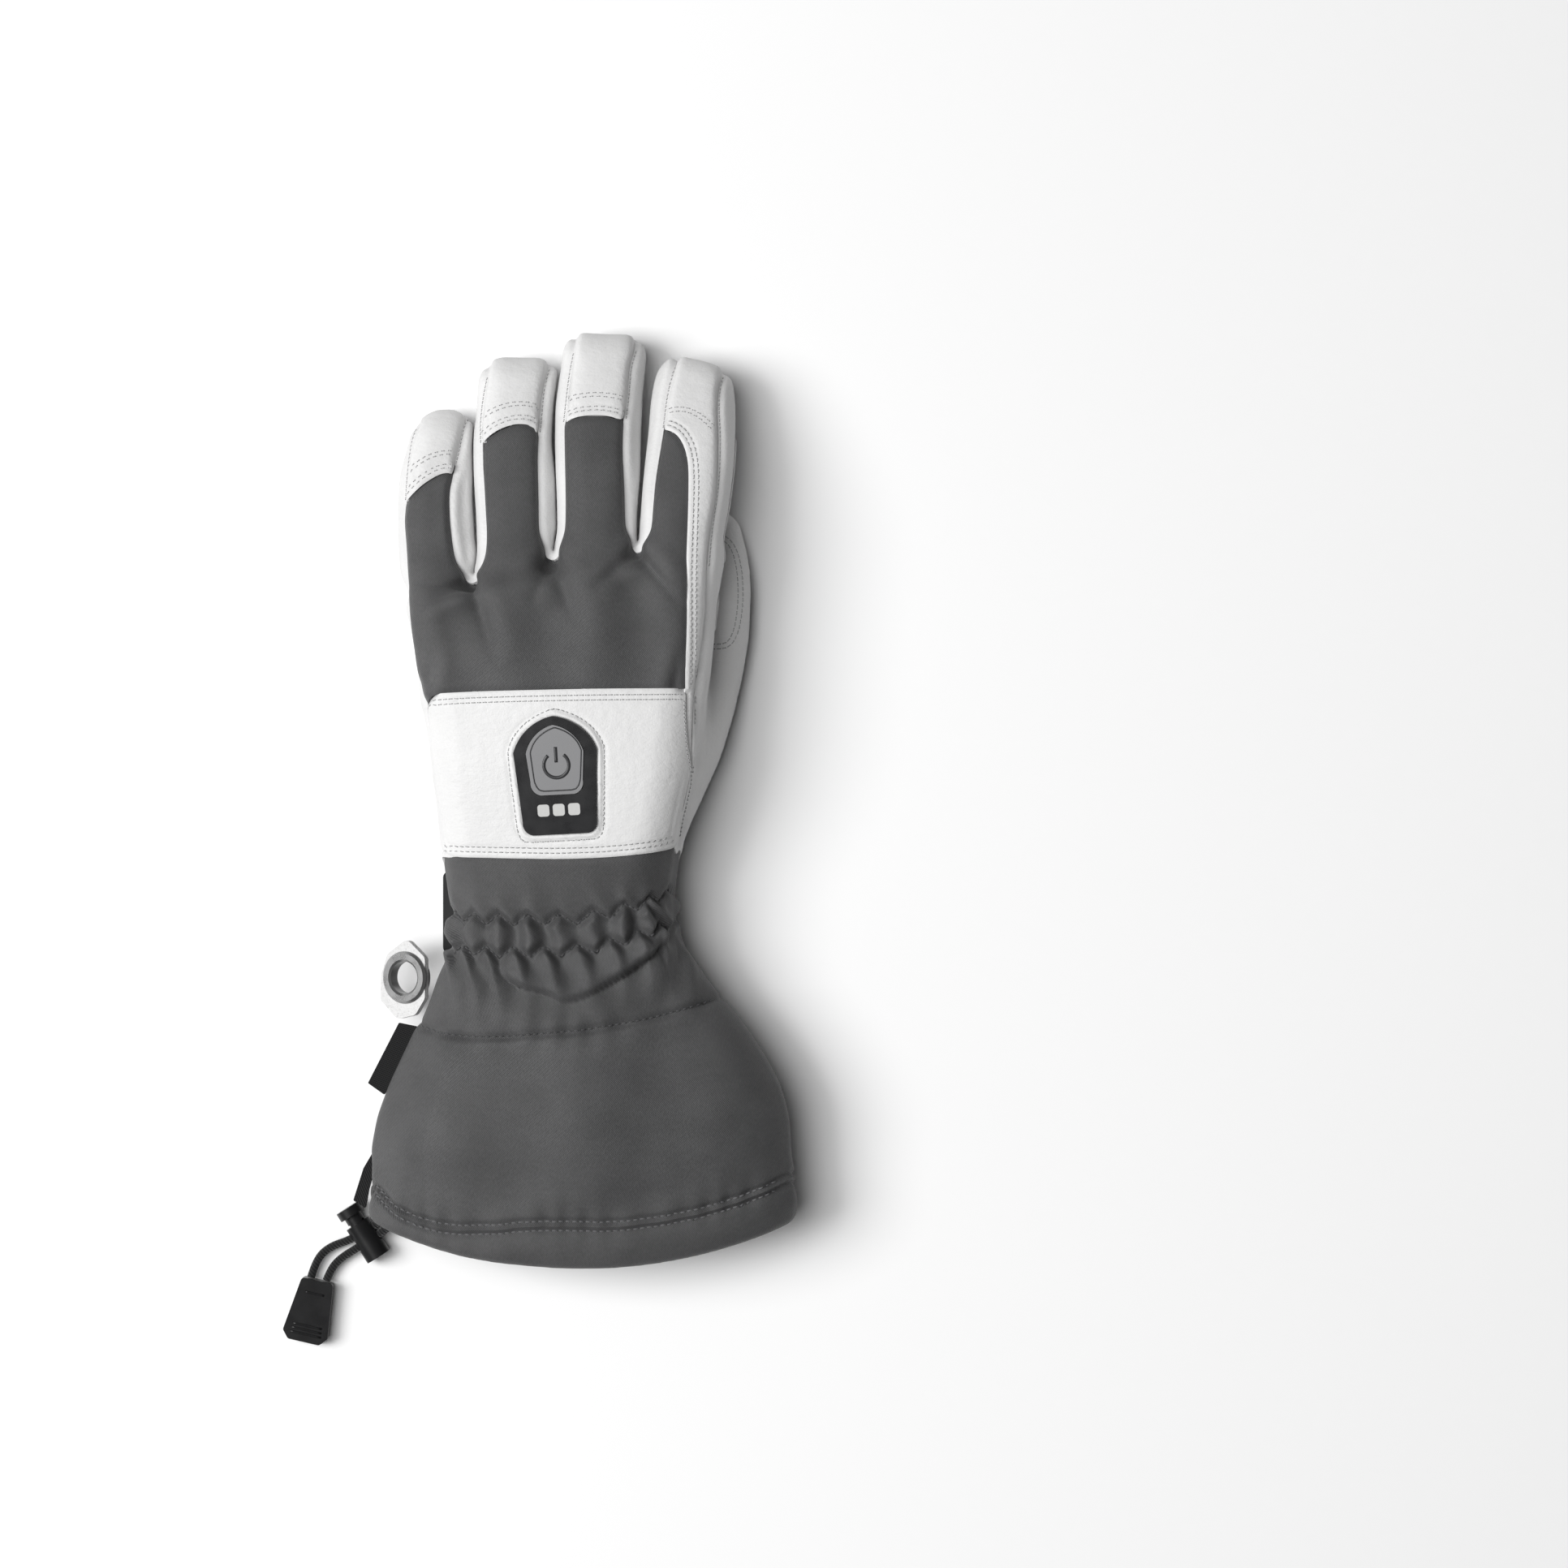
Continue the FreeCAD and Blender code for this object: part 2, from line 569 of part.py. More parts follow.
# ---------------------------------------------------------------- strap
def build_strap():
    """Wrist strap under the palm side: ring, its anchor, fixed layer, and the flap with its end tab."""
    low_y = STRAP_Y - STRAP_WIDTH / 2
    ring_outer = [(13.5, -17.4), (26.7, -17.4), (26.7, 17.4), (13.5, 17.4)]
    bar_left = 13.5 + RING_BAR
    bar_right = 26.7 - RING_BAR
    ring_inner = [(bar_left, -14.9), (bar_right, -14.9), (bar_right, 14.9), (bar_left, 14.9)]
    ring = rounded_plate(ring_outer, 4.5, 1.6, 4.4).cut(rounded_plate(ring_inner, 1.2, 0.0, 6.0))
    ring = placed(ring, Vector(0, STRAP_Y, 0))

    def webbing(x_from, x_to, z, thickness=STRAP_THICKNESS, narrower=0.0):
        return slab(low_y + narrower, low_y + STRAP_WIDTH - narrower, x_from, x_to, z, z + thickness)

    end_tab = rounded_plate([(-50.4, -15.5), (-29.6, -15.5), (-29.6, 15.5), (-50.4, 15.5)], 2.5, 0.4, 3.8)
    end_tab = placed(end_tab, Vector(0, STRAP_Y, 0)).cut(webbing(-34.0, -20.0, 1.4, STRAP_THICKNESS))
    anchor = joined([webbing(20.0, 35.5, 5.0), webbing(27.1, 28.3, 0.4, 4.7), webbing(20.0, 27.2, 0.4, 1.0)])
    sewn_layer = webbing(-43.0, 19.6, 5.0)
    return {
        "strap_ring": ring,
        "strap_sewn_webbing": Part.makeCompound([anchor, sewn_layer]),
        "strap_flap": webbing(-34.0, 12.8, 1.4),
        "strap_hook_tape": webbing(-28.0, 2.0, 2.7, 0.9, 2.0),
        "strap_end_tab": end_tab,
    }


# ---------------------------------------------------------------- trim
def build_eyelet():
    """Leather tab with its two-part metal eyelet, drooping from the side of the wrist."""
    half = TAB_THICKNESS / 2
    root = TAB_REACH - 1.6
    corners = [(0.7, 14.4), (root, 7.6), (root, -7.6), (4.6, -13.8), (-3.5, -15.6), (-11.1, -8.7),
               (-10.9, 0.8), (-8.0, 8.6)]
    tab = rounded_plate(corners, 3.0, -half, half)
    tab = tab.cut(Part.makeCylinder(EYELET_BORE + 0.9, 10, Vector(0, 0, -5)))
    lip = half + 1.3
    front = revolved([(EYELET_BORE, -lip + 0.1), (EYELET_BORE + 0.8, -lip + 0.1), (EYELET_BORE + 0.8, half),
                      (EYELET_FLANGE, half), (EYELET_FLANGE, half + 0.4), (EYELET_FLANGE - 0.9, lip),
                      (EYELET_BORE + 0.8, lip), (EYELET_BORE, half + 0.7)])
    rim = EYELET_FLANGE - 0.3
    back = revolved([(EYELET_BORE + 0.9, -half), (rim, -half), (rim, -half - 0.4),
                     (rim - 0.9, -lip + 0.1), (EYELET_BORE + 0.9, -lip + 0.1)])
    droop = math.radians(TAB_DROOP)
    centre = TAB_ROOT - Vector(math.cos(droop), 0, math.sin(droop)) * TAB_REACH
    turn = Rotation(Vector(0, 1, 0), -TAB_DROOP)
    parts = {"eyelet_tab": tab, "eyelet_front": front, "eyelet_back": back}
    return {name: placed(shape, centre, turn) for name, shape in parts.items()}


def build_side_trim():
    """Woven label in the side seam and the ribbon loop that holds the cord lock."""
    label = rounded_plate([(-65.1, -82.8), (-57.4, -84.4), (-70.4, -109.6), (-76.6, -105.2)], 0.5, 24.0, 25.0)
    ribbon_corners = [
        (-75.2, -130.5), (-79.6, -138.0), (-83.4, -150.0), (-78.6, -153.0), (-77.4, -146.0), (-74.9, -137.0),
    ]
    ribbon_low = LOCK_CAP.z + LOCK_RADIUS + 0.1
    ribbon = rounded_plate(ribbon_corners, 0.6, ribbon_low, ribbon_low + 1.2)
    return {"side_label": label, "lock_ribbon": ribbon}


def build_cord_lock():
    """Barrel, sprung plunger with its cap, and the spring between them."""
    axis = (LOCK_END - LOCK_CAP).normalize()
    turn = Rotation(Vector(0, 0, 1).cross(axis), Vector(0, 0, 1), axis, "ZYX")
    length = (LOCK_END - LOCK_CAP).Length
    cap_length = 3.4
    barrel_start = cap_length + LOCK_TRAVEL + 0.6
    bore = 3.5
    end_wall = 1.0
    hole_z = 12.85
    hole_height = CORD_DIAMETER + 1.4
    barrel = Part.makeCylinder(LOCK_RADIUS, length - barrel_start, Vector(0, 0, barrel_start))
    barrel = barrel.cut(Part.makeCylinder(bore, length - barrel_start - end_wall, Vector(0, 0, barrel_start)))
    half_slot = STRAND_PITCH / 2 + CORD_DIAMETER / 2 + 0.4
    slot_corner = Vector(-10.0, -hole_height / 2, hole_z - half_slot)
    slot = Part.makeBox(20.0, hole_height, 2 * half_slot, slot_corner)
    plunger = Part.makeCylinder(LOCK_RADIUS, cap_length)
    stem_end = hole_z + half_slot + 0.6
    plunger = plunger.fuse(Part.makeCylinder(bore - 0.08, stem_end, Vector(0, 0, 0)))
    gate = Part.makeBox(20.0, hole_height, 2 * half_slot + LOCK_TRAVEL,
                        slot_corner - Vector(0, 0, LOCK_TRAVEL))
    stem_keep = Part.makeCylinder(bore + 1.0, 30.0, Vector(0, 0, cap_length + 0.6))
    plunger = plunger.cut(gate.common(stem_keep))
    spring_radius = bore - 0.8
    wire_radius = 0.25
    coil = Part.makeHelix(0.9, length - end_wall - stem_end - 4 * wire_radius, spring_radius)
    wire = Part.Wire(Part.makeCircle(wire_radius, Vector(spring_radius, 0, 0), Vector(0, 1, 0.06)))
    spring = Part.Wire(coil.Edges).makePipeShell([wire], True, True)
    spring.translate(Vector(0, 0, stem_end + 2 * wire_radius))
    parts = {"lock_barrel": barrel.cut(slot), "lock_plunger": plunger, "lock_spring": spring}
    return {name: placed(shape, LOCK_CAP, turn) for name, shape in parts.items()}


def build_pull():
    """Moulded pull that grips both ends of the drawcord."""
    along = (PULL_END - PULL_TOP)
    length = along.Length
    turn = Rotation(Vector(0, -1, 0), along)
    half = PULL_THICKNESS / 2
    body = rounded_plate([(-6.0, 0.0), (6.0, 0.0), (8.6, -length + 3.0), (6.0, -length), (-6.0, -length),
                          (-8.6, -length + 3.0)], 1.4, -half + 0.4, half)
    pull = placed(body, PULL_TOP, turn)
    return {"end_pull": pull}


def build_drawcord_ends():
    return {name: route_tube(route, CORD_DIAMETER / 2) for name, route in STRAND_ROUTES.items()}


# ---------------------------------------------------------------- whole glove
def build_glove():
    nodes = {}
    linings = []
    for build_region in (build_hand, build_wrist, build_cuff):
        panels, lining = build_region()
        nodes.update(panels)
        linings.extend(lining.Solids)
    nodes["body_lining"] = Part.makeCompound(linings)
    nodes.update(build_controller())
    for finger in FINGERS:
        nodes.update(build_finger(finger))
    nodes.update(build_thumb())
    nodes.update(build_battery())
    nodes.update(build_strap())
    nodes.update(build_eyelet())
    nodes.update(build_side_trim())
    nodes.update(build_cord_lock())
    nodes.update(build_drawcord_ends())
    nodes.update(build_pull())
    return nodes


os.makedirs("parts", exist_ok=True)
for node_name, node_shape in build_glove().items():
    node_shape.exportStep(os.path.join("parts", node_name + ".step"))
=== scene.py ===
import json
import math

import bpy
import numpy as np
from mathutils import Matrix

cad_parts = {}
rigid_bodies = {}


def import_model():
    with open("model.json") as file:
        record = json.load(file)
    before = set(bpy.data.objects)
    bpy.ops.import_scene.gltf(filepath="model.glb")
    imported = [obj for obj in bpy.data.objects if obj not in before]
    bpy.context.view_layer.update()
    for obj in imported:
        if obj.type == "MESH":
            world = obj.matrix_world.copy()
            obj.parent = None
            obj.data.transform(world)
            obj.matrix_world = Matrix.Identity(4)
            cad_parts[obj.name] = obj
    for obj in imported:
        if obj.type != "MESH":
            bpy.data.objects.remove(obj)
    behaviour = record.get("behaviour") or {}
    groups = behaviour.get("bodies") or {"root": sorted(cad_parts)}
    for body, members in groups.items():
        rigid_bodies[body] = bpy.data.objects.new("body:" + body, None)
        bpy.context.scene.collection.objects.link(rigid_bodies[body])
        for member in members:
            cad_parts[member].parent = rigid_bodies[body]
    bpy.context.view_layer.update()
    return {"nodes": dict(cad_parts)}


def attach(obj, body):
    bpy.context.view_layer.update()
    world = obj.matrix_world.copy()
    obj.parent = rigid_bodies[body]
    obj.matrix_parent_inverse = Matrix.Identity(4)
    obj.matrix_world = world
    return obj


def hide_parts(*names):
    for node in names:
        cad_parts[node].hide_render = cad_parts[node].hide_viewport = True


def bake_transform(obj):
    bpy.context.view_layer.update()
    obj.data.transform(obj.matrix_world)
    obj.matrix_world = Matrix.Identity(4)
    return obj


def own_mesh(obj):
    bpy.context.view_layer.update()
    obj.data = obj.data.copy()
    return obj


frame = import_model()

import openvdb
from mathutils import Vector
from mathutils.bvhtree import BVHTree

# A left-hand heated ski glove lying palm down.  Design values are in millimetres, in the frame of the CAD:
# +X to the thumb side, +Y to the fingertips, +Z up.
MM = 0.001
STEP = 0.85           # spacing of the grid that the soft shell is drawn on
SHELL_ROOM = ((-80.0, 86.0), (-176.0, 177.0), (-2.0, 60.0))      # extent of that grid along X, Y and Z

# ---------------------------------------------------------------- shape of the soft shell
# Flattened cross-sections: y, left, right, low, high, corner radius, roll in degrees
SHELL = (
    (-178, -74, 80.5, 0.6, 43, 20, 0),
    (-152, -75.3, 81.8, 0.4, 47, 21, 0),
    (-143, -74.6, 81.2, 0.4, 48, 21, 0),
    (-130, -76, 81.2, 0.4, 49.5, 21, 0),
    (-117, -73.6, 80.2, 0.4, 50, 21, 0),
    (-105, -69.2, 76.6, 0.6, 49.6, 20, 0),
    (-92, -62.8, 68.8, 1.2, 48.4, 19, 0),
    (-83, -57.4, 62, 2.4, 46.6, 18, 0),
    (-76, -54.4, 56.6, 3.4, 45.2, 17, 0),
    (-66, -51.6, 48.6, 6, 44.6, 16, 0),
    (-55, -46.4, 40.6, 8.4, 44, 15, 2),
    (-44, -45.3, 36.6, 9.4, 44.4, 14.5, 3.5),
    (-33, -46.8, 35.6, 10.4, 45.4, 14, 5.5),
    (-21, -48.8, 38, 10, 46.5, 14, 8),
    (-7, -50.8, 41.6, 10.6, 48.6, 14.5, 8),
    (10, -53.2, 45.6, 12.5, 51.2, 15, 8),
    (30, -55.4, 48, 13.2, 52, 15, 7),
    (48, -57.8, 50.6, 13.5, 52.4, 15, 4.5),
    (70, -61.6, 52.6, 13.5, 50, 14, 3),
    (90, -64.6, 54.2, 14, 46, 12.5, 2),
)
# How much the middle of the top stands above its sides: (y, height)
CROWN = ((-178, 14), (-95, 14), (-70, 8), (-40, 4), (0, 4), (60, 4.5), (92, 3.5))
FINGER_CROWN = ((60, 1.5), (180, 1.5))
MOUTH_CENTRE = (4, 22)
MOUTH_RADIUS = 194.2
HEM_WALL = 5.2
CAVITY_END_Y = -40

# Fingers: the tip's line (y at the middle, slope) and its corner radius, where the skin is split from the hand's
# and where the finger bends, then rows as above
FINGERS = {
    "little": dict(tip=145.4, slope=0.05, corner=11.5, split=88, joint=99, rows=(
        (60, -63, -37, 9, 42, 12, 8), (78, -63.6, -37.6, 8.8, 38.6, 12, 7), (94, -65.2, -36.9, 8.2, 33.8, 11.5, 4),
        (107, -65.7, -37.6, 6.8, 31.2, 11, 0), (120, -64.9, -38.2, 5, 28.6, 11, 0),
        (132, -62.6, -38.2, 3, 25, 10.5, 0), (146, -60, -37.8, 1.4, 20, 9, 0),
    )),
    "ring": dict(tip=164.4, slope=0, corner=9.5, split=96, joint=107, rows=(
        (60, -37, -7.6, 13, 48, 13, 6), (80, -37, -8, 12.8, 45, 12.5, 5), (95, -36.1, -7, 12.4, 40.6, 12, 2),
        (107, -37.2, -6.9, 11.8, 37.2, 11.5, 0), (120, -37.8, -7.4, 9.6, 34.6, 11.5, 0),
        (135, -38, -8.5, 6.8, 31, 11, 0), (148, -36.9, -7.4, 4, 27, 10.5, 0), (165, -35.4, -6.2, 1.8, 21, 9, 0),
    )),
    "middle": dict(tip=173.2, slope=-0.02, corner=8.5, split=98, joint=109, rows=(
        (60, -7.6, 23.6, 17, 52.5, 13, 6), (80, -7.6, 23.6, 17, 49.6, 12.5, 5), (95, -6.4, 23.2, 16.8, 45.6, 12, 2),
        (109, -6.2, 23.7, 16.2, 42.2, 11.5, 0), (122, -6.9, 24.4, 13.8, 39.6, 11.5, 0),
        (136, -7.4, 24.4, 10.6, 36.2, 11, 0), (150, -6.6, 24.6, 7, 31.6, 10.5, 0),
        (160, -5.6, 25.8, 4.4, 27.6, 10, 0), (174, -4.6, 26.4, 2.2, 22, 9, 0),
    )),
    "index": dict(tip=162.9, slope=-0.24, corner=7.5, split=98, joint=109, rows=(
        (60, 23.6, 52, 19, 53.6, 13, -2), (80, 23.6, 53.4, 20, 52, 12.5, -4), (95, 23.9, 54.8, 20.6, 49.6, 12, -4),
        (109, 24.6, 57.4, 20.4, 46.8, 11.5, -3), (122, 26.2, 58.9, 16.8, 42.6, 11.5, 0),
        (135, 27.3, 59.6, 12.4, 38.4, 11, 0), (146, 27.8, 59.6, 8.6, 33.8, 10.5, 0),
        (156, 29.6, 58.6, 5.4, 29, 10, 0), (166, 33, 57.4, 2.4, 23.6, 9, 0),
    )),
}
# Lines between neighbouring fingers: (x, y) from the crotch outwards
GAPS = (
    ((-37.5, 79.5), (-36, 88), (-35.8, 92), (-36.6, 98), (-37.5, 113), (-38.1, 133), (-37.7, 146)),
    ((-8.2, 87.6), (-7.4, 92), (-6.2, 100), (-6.6, 117), (-8, 133), (-7.9, 146), (-6.2, 160)),
    ((23.6, 90.4), (23.8, 98), (24, 104), (25.2, 118), (26.2, 136), (27, 150), (28, 165)),
)
# Thumb with its root
THUMB = (
    (-24, 14, 36, 13, 28, 8, 0),
    (-14, 12, 38.8, 9, 29, 9, 0),
    (-2, 13, 45.6, 5.6, 30, 10, 0),
    (15, 14, 53.2, 2.6, 29.5, 11, 0),
    (32, 17, 58.6, 1.2, 24, 10, 0),
    (46, 22.5, 61.8, 0.6, 18.6, 8.6, 0),
    (62, 27, 64.2, 0.5, 17, 8.2, 0),
    (78, 32.6, 64.9, 0.5, 16.6, 8, 0),
    (92, 40, 64.2, 0.6, 16.2, 7.8, 0),
    (101, 45.4, 62, 0.9, 15.4, 7.2, 0),
    (108, 49, 60.4, 1.6, 14, 6, 0),
)
THUMB_TIP_Y = 107.6
THUMB_FREE_Y = 50                            # beyond this the thumb is clear of the palm
THUMB_SPLIT_Y = 44                           # the thumb's own pieces begin here
KNUCKLE_Y, KNUCKLE_SLOPE = 84.6, 0.17        # front end of the hand, where the fingers leave it
EDGE_RADIUS = 2.4                            # of the rounded edges at the gaps, the mouth and the cavity
TABLE_GAP = 0.15                             # the cloth stays this far above the table
TURNED_HEM = 9.0                             # how far the hem's cloth is turned into the mouth
FIELD_REACH = 14.0                           # distances to a panel's edge are worked out this far from it

# ---------------------------------------------------------------- outlines of the panels, seen from above
BACK_FABRIC = (
    (-53.6, 30), (-54.8, 38.6), (-57.4, 48), (-59.6, 60), (-61.3, 77), (-62.3, 92), (-63.5, 103), (-62.9, 108.8),
    (-62.4, 118), (-61.6, 126), (-43, 126), (-44.4, 120.2), (-46, 113.4), (-45.8, 103.7), (-44.7, 95.2),
    (-43.1, 87.4), (-41.4, 82.6), (-37.6, 79.8), (-34.4, 83), (-32.8, 86.8), (-32.1, 97.2), (-32.8, 106.9),
    (-33.9, 119.9), (-34.4, 130.6), (-34.8, 144), (-12.4, 144), (-12.7, 135.4), (-13.1, 126.4), (-12.4, 112),
    (-12, 100.4), (-11.4, 94.6), (-10.2, 90.6), (-7.9, 88), (-5.3, 90.6), (-4, 94.6), (-3.4, 102), (-3.2, 113.4),
    (-3.4, 125), (-3.9, 138.4), (-3.4, 147), (19.6, 147), (19.1, 139.4), (18.7, 129), (19.2, 117), (19.5, 104),
    (20, 96.5), (21.4, 92.6), (23.6, 90.8), (27, 93), (28.7, 96.2), (29.1, 104), (29.8, 115), (31, 124.5),
    (32.8, 136.2), (33.4, 141), (46, 141), (47, 118), (46, 87), (45, 60), (44, 30),
)
BAND = (
    (-54.8, 38.6), (-35, 39.6), (5.4, 40.4), (41.4, 40.6), (46, 40.6), (46, 14), (44.1, 8.4), (41.8, -1.7),
    (40.2, -8.5), (38.8, -17.2), (31.1, -19.2), (14.5, -21), (-3.8, -21.8), (-24.9, -21.5), (-49.3, -21),
    (-50.6, -8), (-52.2, 6), (-54, 22),
)
CAPS = {
    "little": (
        (-62.9, 108.8), (-59.6, 112.8), (-55.1, 117), (-49.9, 120.2), (-46.6, 120.9), (-44.9, 120.2), (-43, 129),
        (-41.7, 136.2), (-40.2, 143.4), (-41, 152), (-60, 152), (-58.9, 139), (-61.3, 133), (-62.2, 123),
    ),
    "ring": (
        (-34.4, 130.6), (-31.7, 133.9), (-27.7, 136.6), (-22.6, 138.5), (-18, 138.8), (-14.7, 137.6), (-12.9, 134.4),
        (-11.9, 146), (-11.4, 152.5), (-9.4, 161.5), (-10, 172), (-32, 172), (-32.6, 158.3), (-34.3, 149.9),
        (-35.2, 140.1),
    ),
    "middle": (
        (-3.9, 138.4), (0.4, 140.8), (6.9, 141.7), (12.7, 141.4), (19.1, 139.4), (20.4, 150.5), (20.9, 160),
        (23, 168), (22, 181), (0.5, 181), (-0.4, 167), (-1.9, 158), (-3, 147.3),
    ),
}
INDEX_DORSAL = (
    (41.4, 40.6), (41.8, 53), (41.9, 70), (42, 87.4), (42.6, 104), (42.9, 118), (42.3, 125.2), (40.9, 130),
    (38.8, 133.6), (36.2, 135.4), (32.8, 136.2), (34.5, 149.2), (36.2, 157), (38.1, 165), (39, 173), (55.4, 170),
    (55.6, 158.6), (54, 152.4), (53.6, 144.7), (54.3, 133), (54, 119.9), (53.1, 110.2), (51.1, 97.2), (50.3, 85.5),
    (49.4, 67.1), (47.1, 48.8), (45.3, 37.8), (44.7, 21.2), (44.1, 8.4), (42.1, 17.5), (41.3, 30),
)
PALM_PATCH = (
    (-36.4, -36), (-39.2, -13), (-38.9, 2), (-39.2, 15), (-38.6, 38), (-37.2, 46.8), (-33.2, 55.5), (-26.6, 63.2),
    (-19, 70.4), (-10.6, 75.4), (4, 78.6), (21, 80.2), (37, 80.2), (54, 79), (54, 60), (30, 55), (21.9, 51.8),
    (13.3, 46.7), (9.3, 38.7), (6.9, 28.2), (7.5, 15.6), (10.6, 0), (13.3, -13), (6, -25), (2, -36),
)
INDEX_PATCH = (
    (64, 86.5), (33.2, 87.4), (28.2, 89.6), (26.6, 94), (27.6, 107.6), (29.8, 110.6), (35.4, 111.2), (36.8, 113.2),
    (34.6, 115.2), (29.6, 116.4), (28.9, 119), (29.8, 130.4), (32, 133.8), (37, 135.4), (64, 136.4),
)
THUMB_FABRIC = (
    (-6, -52), (2, -30), (6.6, -19), (18.2, 5.4), (26.1, 21.3), (31.9, 37.5), (34.7, 51.3), (37.7, 65), (39.9, 75),
    (43.6, 88), (50.2, 100.4), (54.4, 103.6), (57.6, 100.6), (60.4, 92), (62.4, 83.4), (75, 70), (75, -52),
)
THUMB_SEAM_Z = 8.6
BAND_FOOT_Y = (
    (-60, -21), (-24.9, -21.5), (-3.8, -21.8), (14.5, -21), (31.1, -19.2), (38.8, -17.2), (60, -15),
)
CUFF_SEAM_BACK = (
    (-70, -82), (-57.1, -83.7), (-48, -86.1), (-35.1, -87), (-24.4, -86.8), (-10.5, -85.5), (3.5, -84.4),
    (16.3, -82.3), (27, -80.5), (37.8, -77.8), (52.2, -73.7), (65, -71),
)
CUFF_SEAM_PALM = (
    (-70, -81), (-57.8, -79.9), (-38.7, -79.5), (-25.3, -80.4), (-22.4, -78.5), (-10, -77.1), (18.7, -75.6),
    (44.1, -74.2), (65, -72),
)
HEM_ROW_BACK = (
    (-80, -136), (-73.2, -142.5), (-65.7, -150), (-55.8, -154), (-45, -156.4), (-28.5, -156), (-15.6, -154.5),
    (0, -154.4), (15, -154.8), (31.5, -153), (47.7, -150), (61.8, -145.8), (75, -140.7), (84, -136),
)
HEM_ROW_PALM = (
    (-84, -149), (-57, -150.6), (0, -150.6), (26, -148), (57, -146), (84, -140),
)
HEM_ROW_PITCH = 3.4
SCALLOP_Y = -28.6
# Crests of the gathered wrist, from left to right, and the mean lines of its two zigzag rows
GATHER_CRESTS = (-52, -44.4, -36.7, -27.1, -16, -4.6, 8.3, 19.5, 29, 35.4, 42)
GATHER_ROW_1 = ((-50, -42.6), (-27, -44.2), (0, -44), (14, -41.6), (24, -38.8), (36, -34.4))
GATHER_ROW_2 = ((-50, -54.6), (-27, -56.2), (-4, -55.8), (8, -54.6), (20, -51.4), (36, -46))
GATHER_REACH = 2.1
SLACK_EDGE = (
    (-31, -56.6), (-28, -60.8), (-24.2, -66), (-19, -69.4), (-11.5, -70.8), (-7, -72.4), (-3, -74.8), (3, -73.2),
    (9, -70.6), (16.3, -66.4), (23, -62.6), (29, -57.8), (36, -51), (42, -46),
)


# ---------------------------------------------------------------- numbers and curves
def eased(at, points, spread=4.0):
    """Value at each place of a line through (place, value) points, with its corners rounded over spread."""
    places = [p[0] for p in points]
    values = [p[1] for p in points]
    weights = (0.09, 0.24, 0.34, 0.24, 0.09)
    return sum(w * np.interp(at + spread * s, places, values) for w, s in zip(weights, (-1, -0.5, 0, 0.5, 1)))


def rounded(points, closed=True, spacing=1.2, passes=2):
    """The outline with its corners cut twice, resampled at an even spacing."""
    line = np.array(points, float)
    for _ in range(passes):
        after = np.roll(line, -1, 0) if closed else line[1:]
        before = line if closed else line[:-1]
        cut = np.stack([0.78 * before + 0.22 * after, 0.22 * before + 0.78 * after], 1).reshape(-1, 2)
        line = cut if closed else np.vstack([line[:1], cut, line[-1:]])
    return resampled(line, spacing, closed)


def resampled(line, spacing, closed=False):
    """The line with points at an even spacing."""
    ring = np.vstack([line, line[:1]]) if closed else line
    run = np.concatenate([[0.0], np.cumsum(np.linalg.norm(np.diff(ring, axis=0), axis=1))])
    count = max(int(round(run[-1] / spacing)), 2)
    at = np.linspace(0.0, run[-1], count + 1)
    out = np.stack([np.interp(at, run, ring[:, i]) for i in range(ring.shape[1])], 1)
    return out[:-1] if closed else out


def line_distance(x, y, line, closed=False):
    """Distance from each point to a line in the plane, and its place along it (0 to 1)."""
    ends = np.roll(line, -1, 0) if closed else line[1:]
    starts = line if closed else line[:-1]
    best = np.full(x.shape, 1e6)
    where = np.zeros(x.shape)
    for i, (a, b) in enumerate(zip(starts, ends)):
        ab = b - a
        t = np.clip(((x - a[0]) * ab[0] + (y - a[1]) * ab[1]) / max(ab @ ab, 1e-9), 0.0, 1.0)
        d = np.hypot(x - a[0] - t * ab[0], y - a[1] - t * ab[1])
        near = d < best
        best = np.where(near, d, best)
        where = np.where(near, (i + t) / len(starts), where)
    return best, where


def inside(x, y, line):
    """Whether each place lies inside a closed line."""
    odd = np.zeros(x.shape, bool)
    for a, b in zip(line, np.roll(line, -1, 0)):
        crosses = (a[1] > y) != (b[1] > y)
        at = a[0] + (y - a[1]) * (b[0] - a[0]) / (b[1] - a[1] if b[1] != a[1] else 1e-9)
        odd ^= crosses & (x < at)
    return odd


def near_line(x, y, line, reach):
    """Which places lie in the box round a line, grown by reach."""
    low = line.min(0) - reach
    high = line.max(0) + reach
    return (x > low[0]) & (x < high[0]) & (y > low[1]) & (y < high[1])


def outline_field(x, y, line, reach=FIELD_REACH):
    """Signed distance to a closed outline: negative inside."""
    field = np.full(x.shape, reach)
    near = near_line(x, y, line, reach)
    d, _ = line_distance(x[near], y[near], line, closed=True)
    field[near] = np.where(inside(x[near], y[near], line), -d, d)
    return field


def unit(vectors):
    """Vectors along the last axis, at length one."""
    return vectors / np.maximum(np.linalg.norm(vectors, axis=-1, keepdims=True), 1e-12)


def smooth_step(value, low, high):
    """0 up to low, 1 from high on, smooth between."""
    t = np.clip((value - low) / (high - low), 0.0, 1.0)
    return t * t * (3 - 2 * t)


def bump(value, width):
    """1 at zero, falling away smoothly over width."""
    return np.exp(-(value / width) ** 2)


def joined(a, b, blend):
    """Union of two fields with a fillet."""
    h = np.maximum(blend - np.abs(a - b), 0.0) / blend
    return np.minimum(a, b) - h * h * blend / 4


def cut_to(a, b, radius):
    """What two fields share, with a rounded edge."""
    return (np.minimum(np.maximum(a, b), -radius)
            + np.hypot(np.maximum(a + radius, 0.0), np.maximum(b + radius, 0.0)))


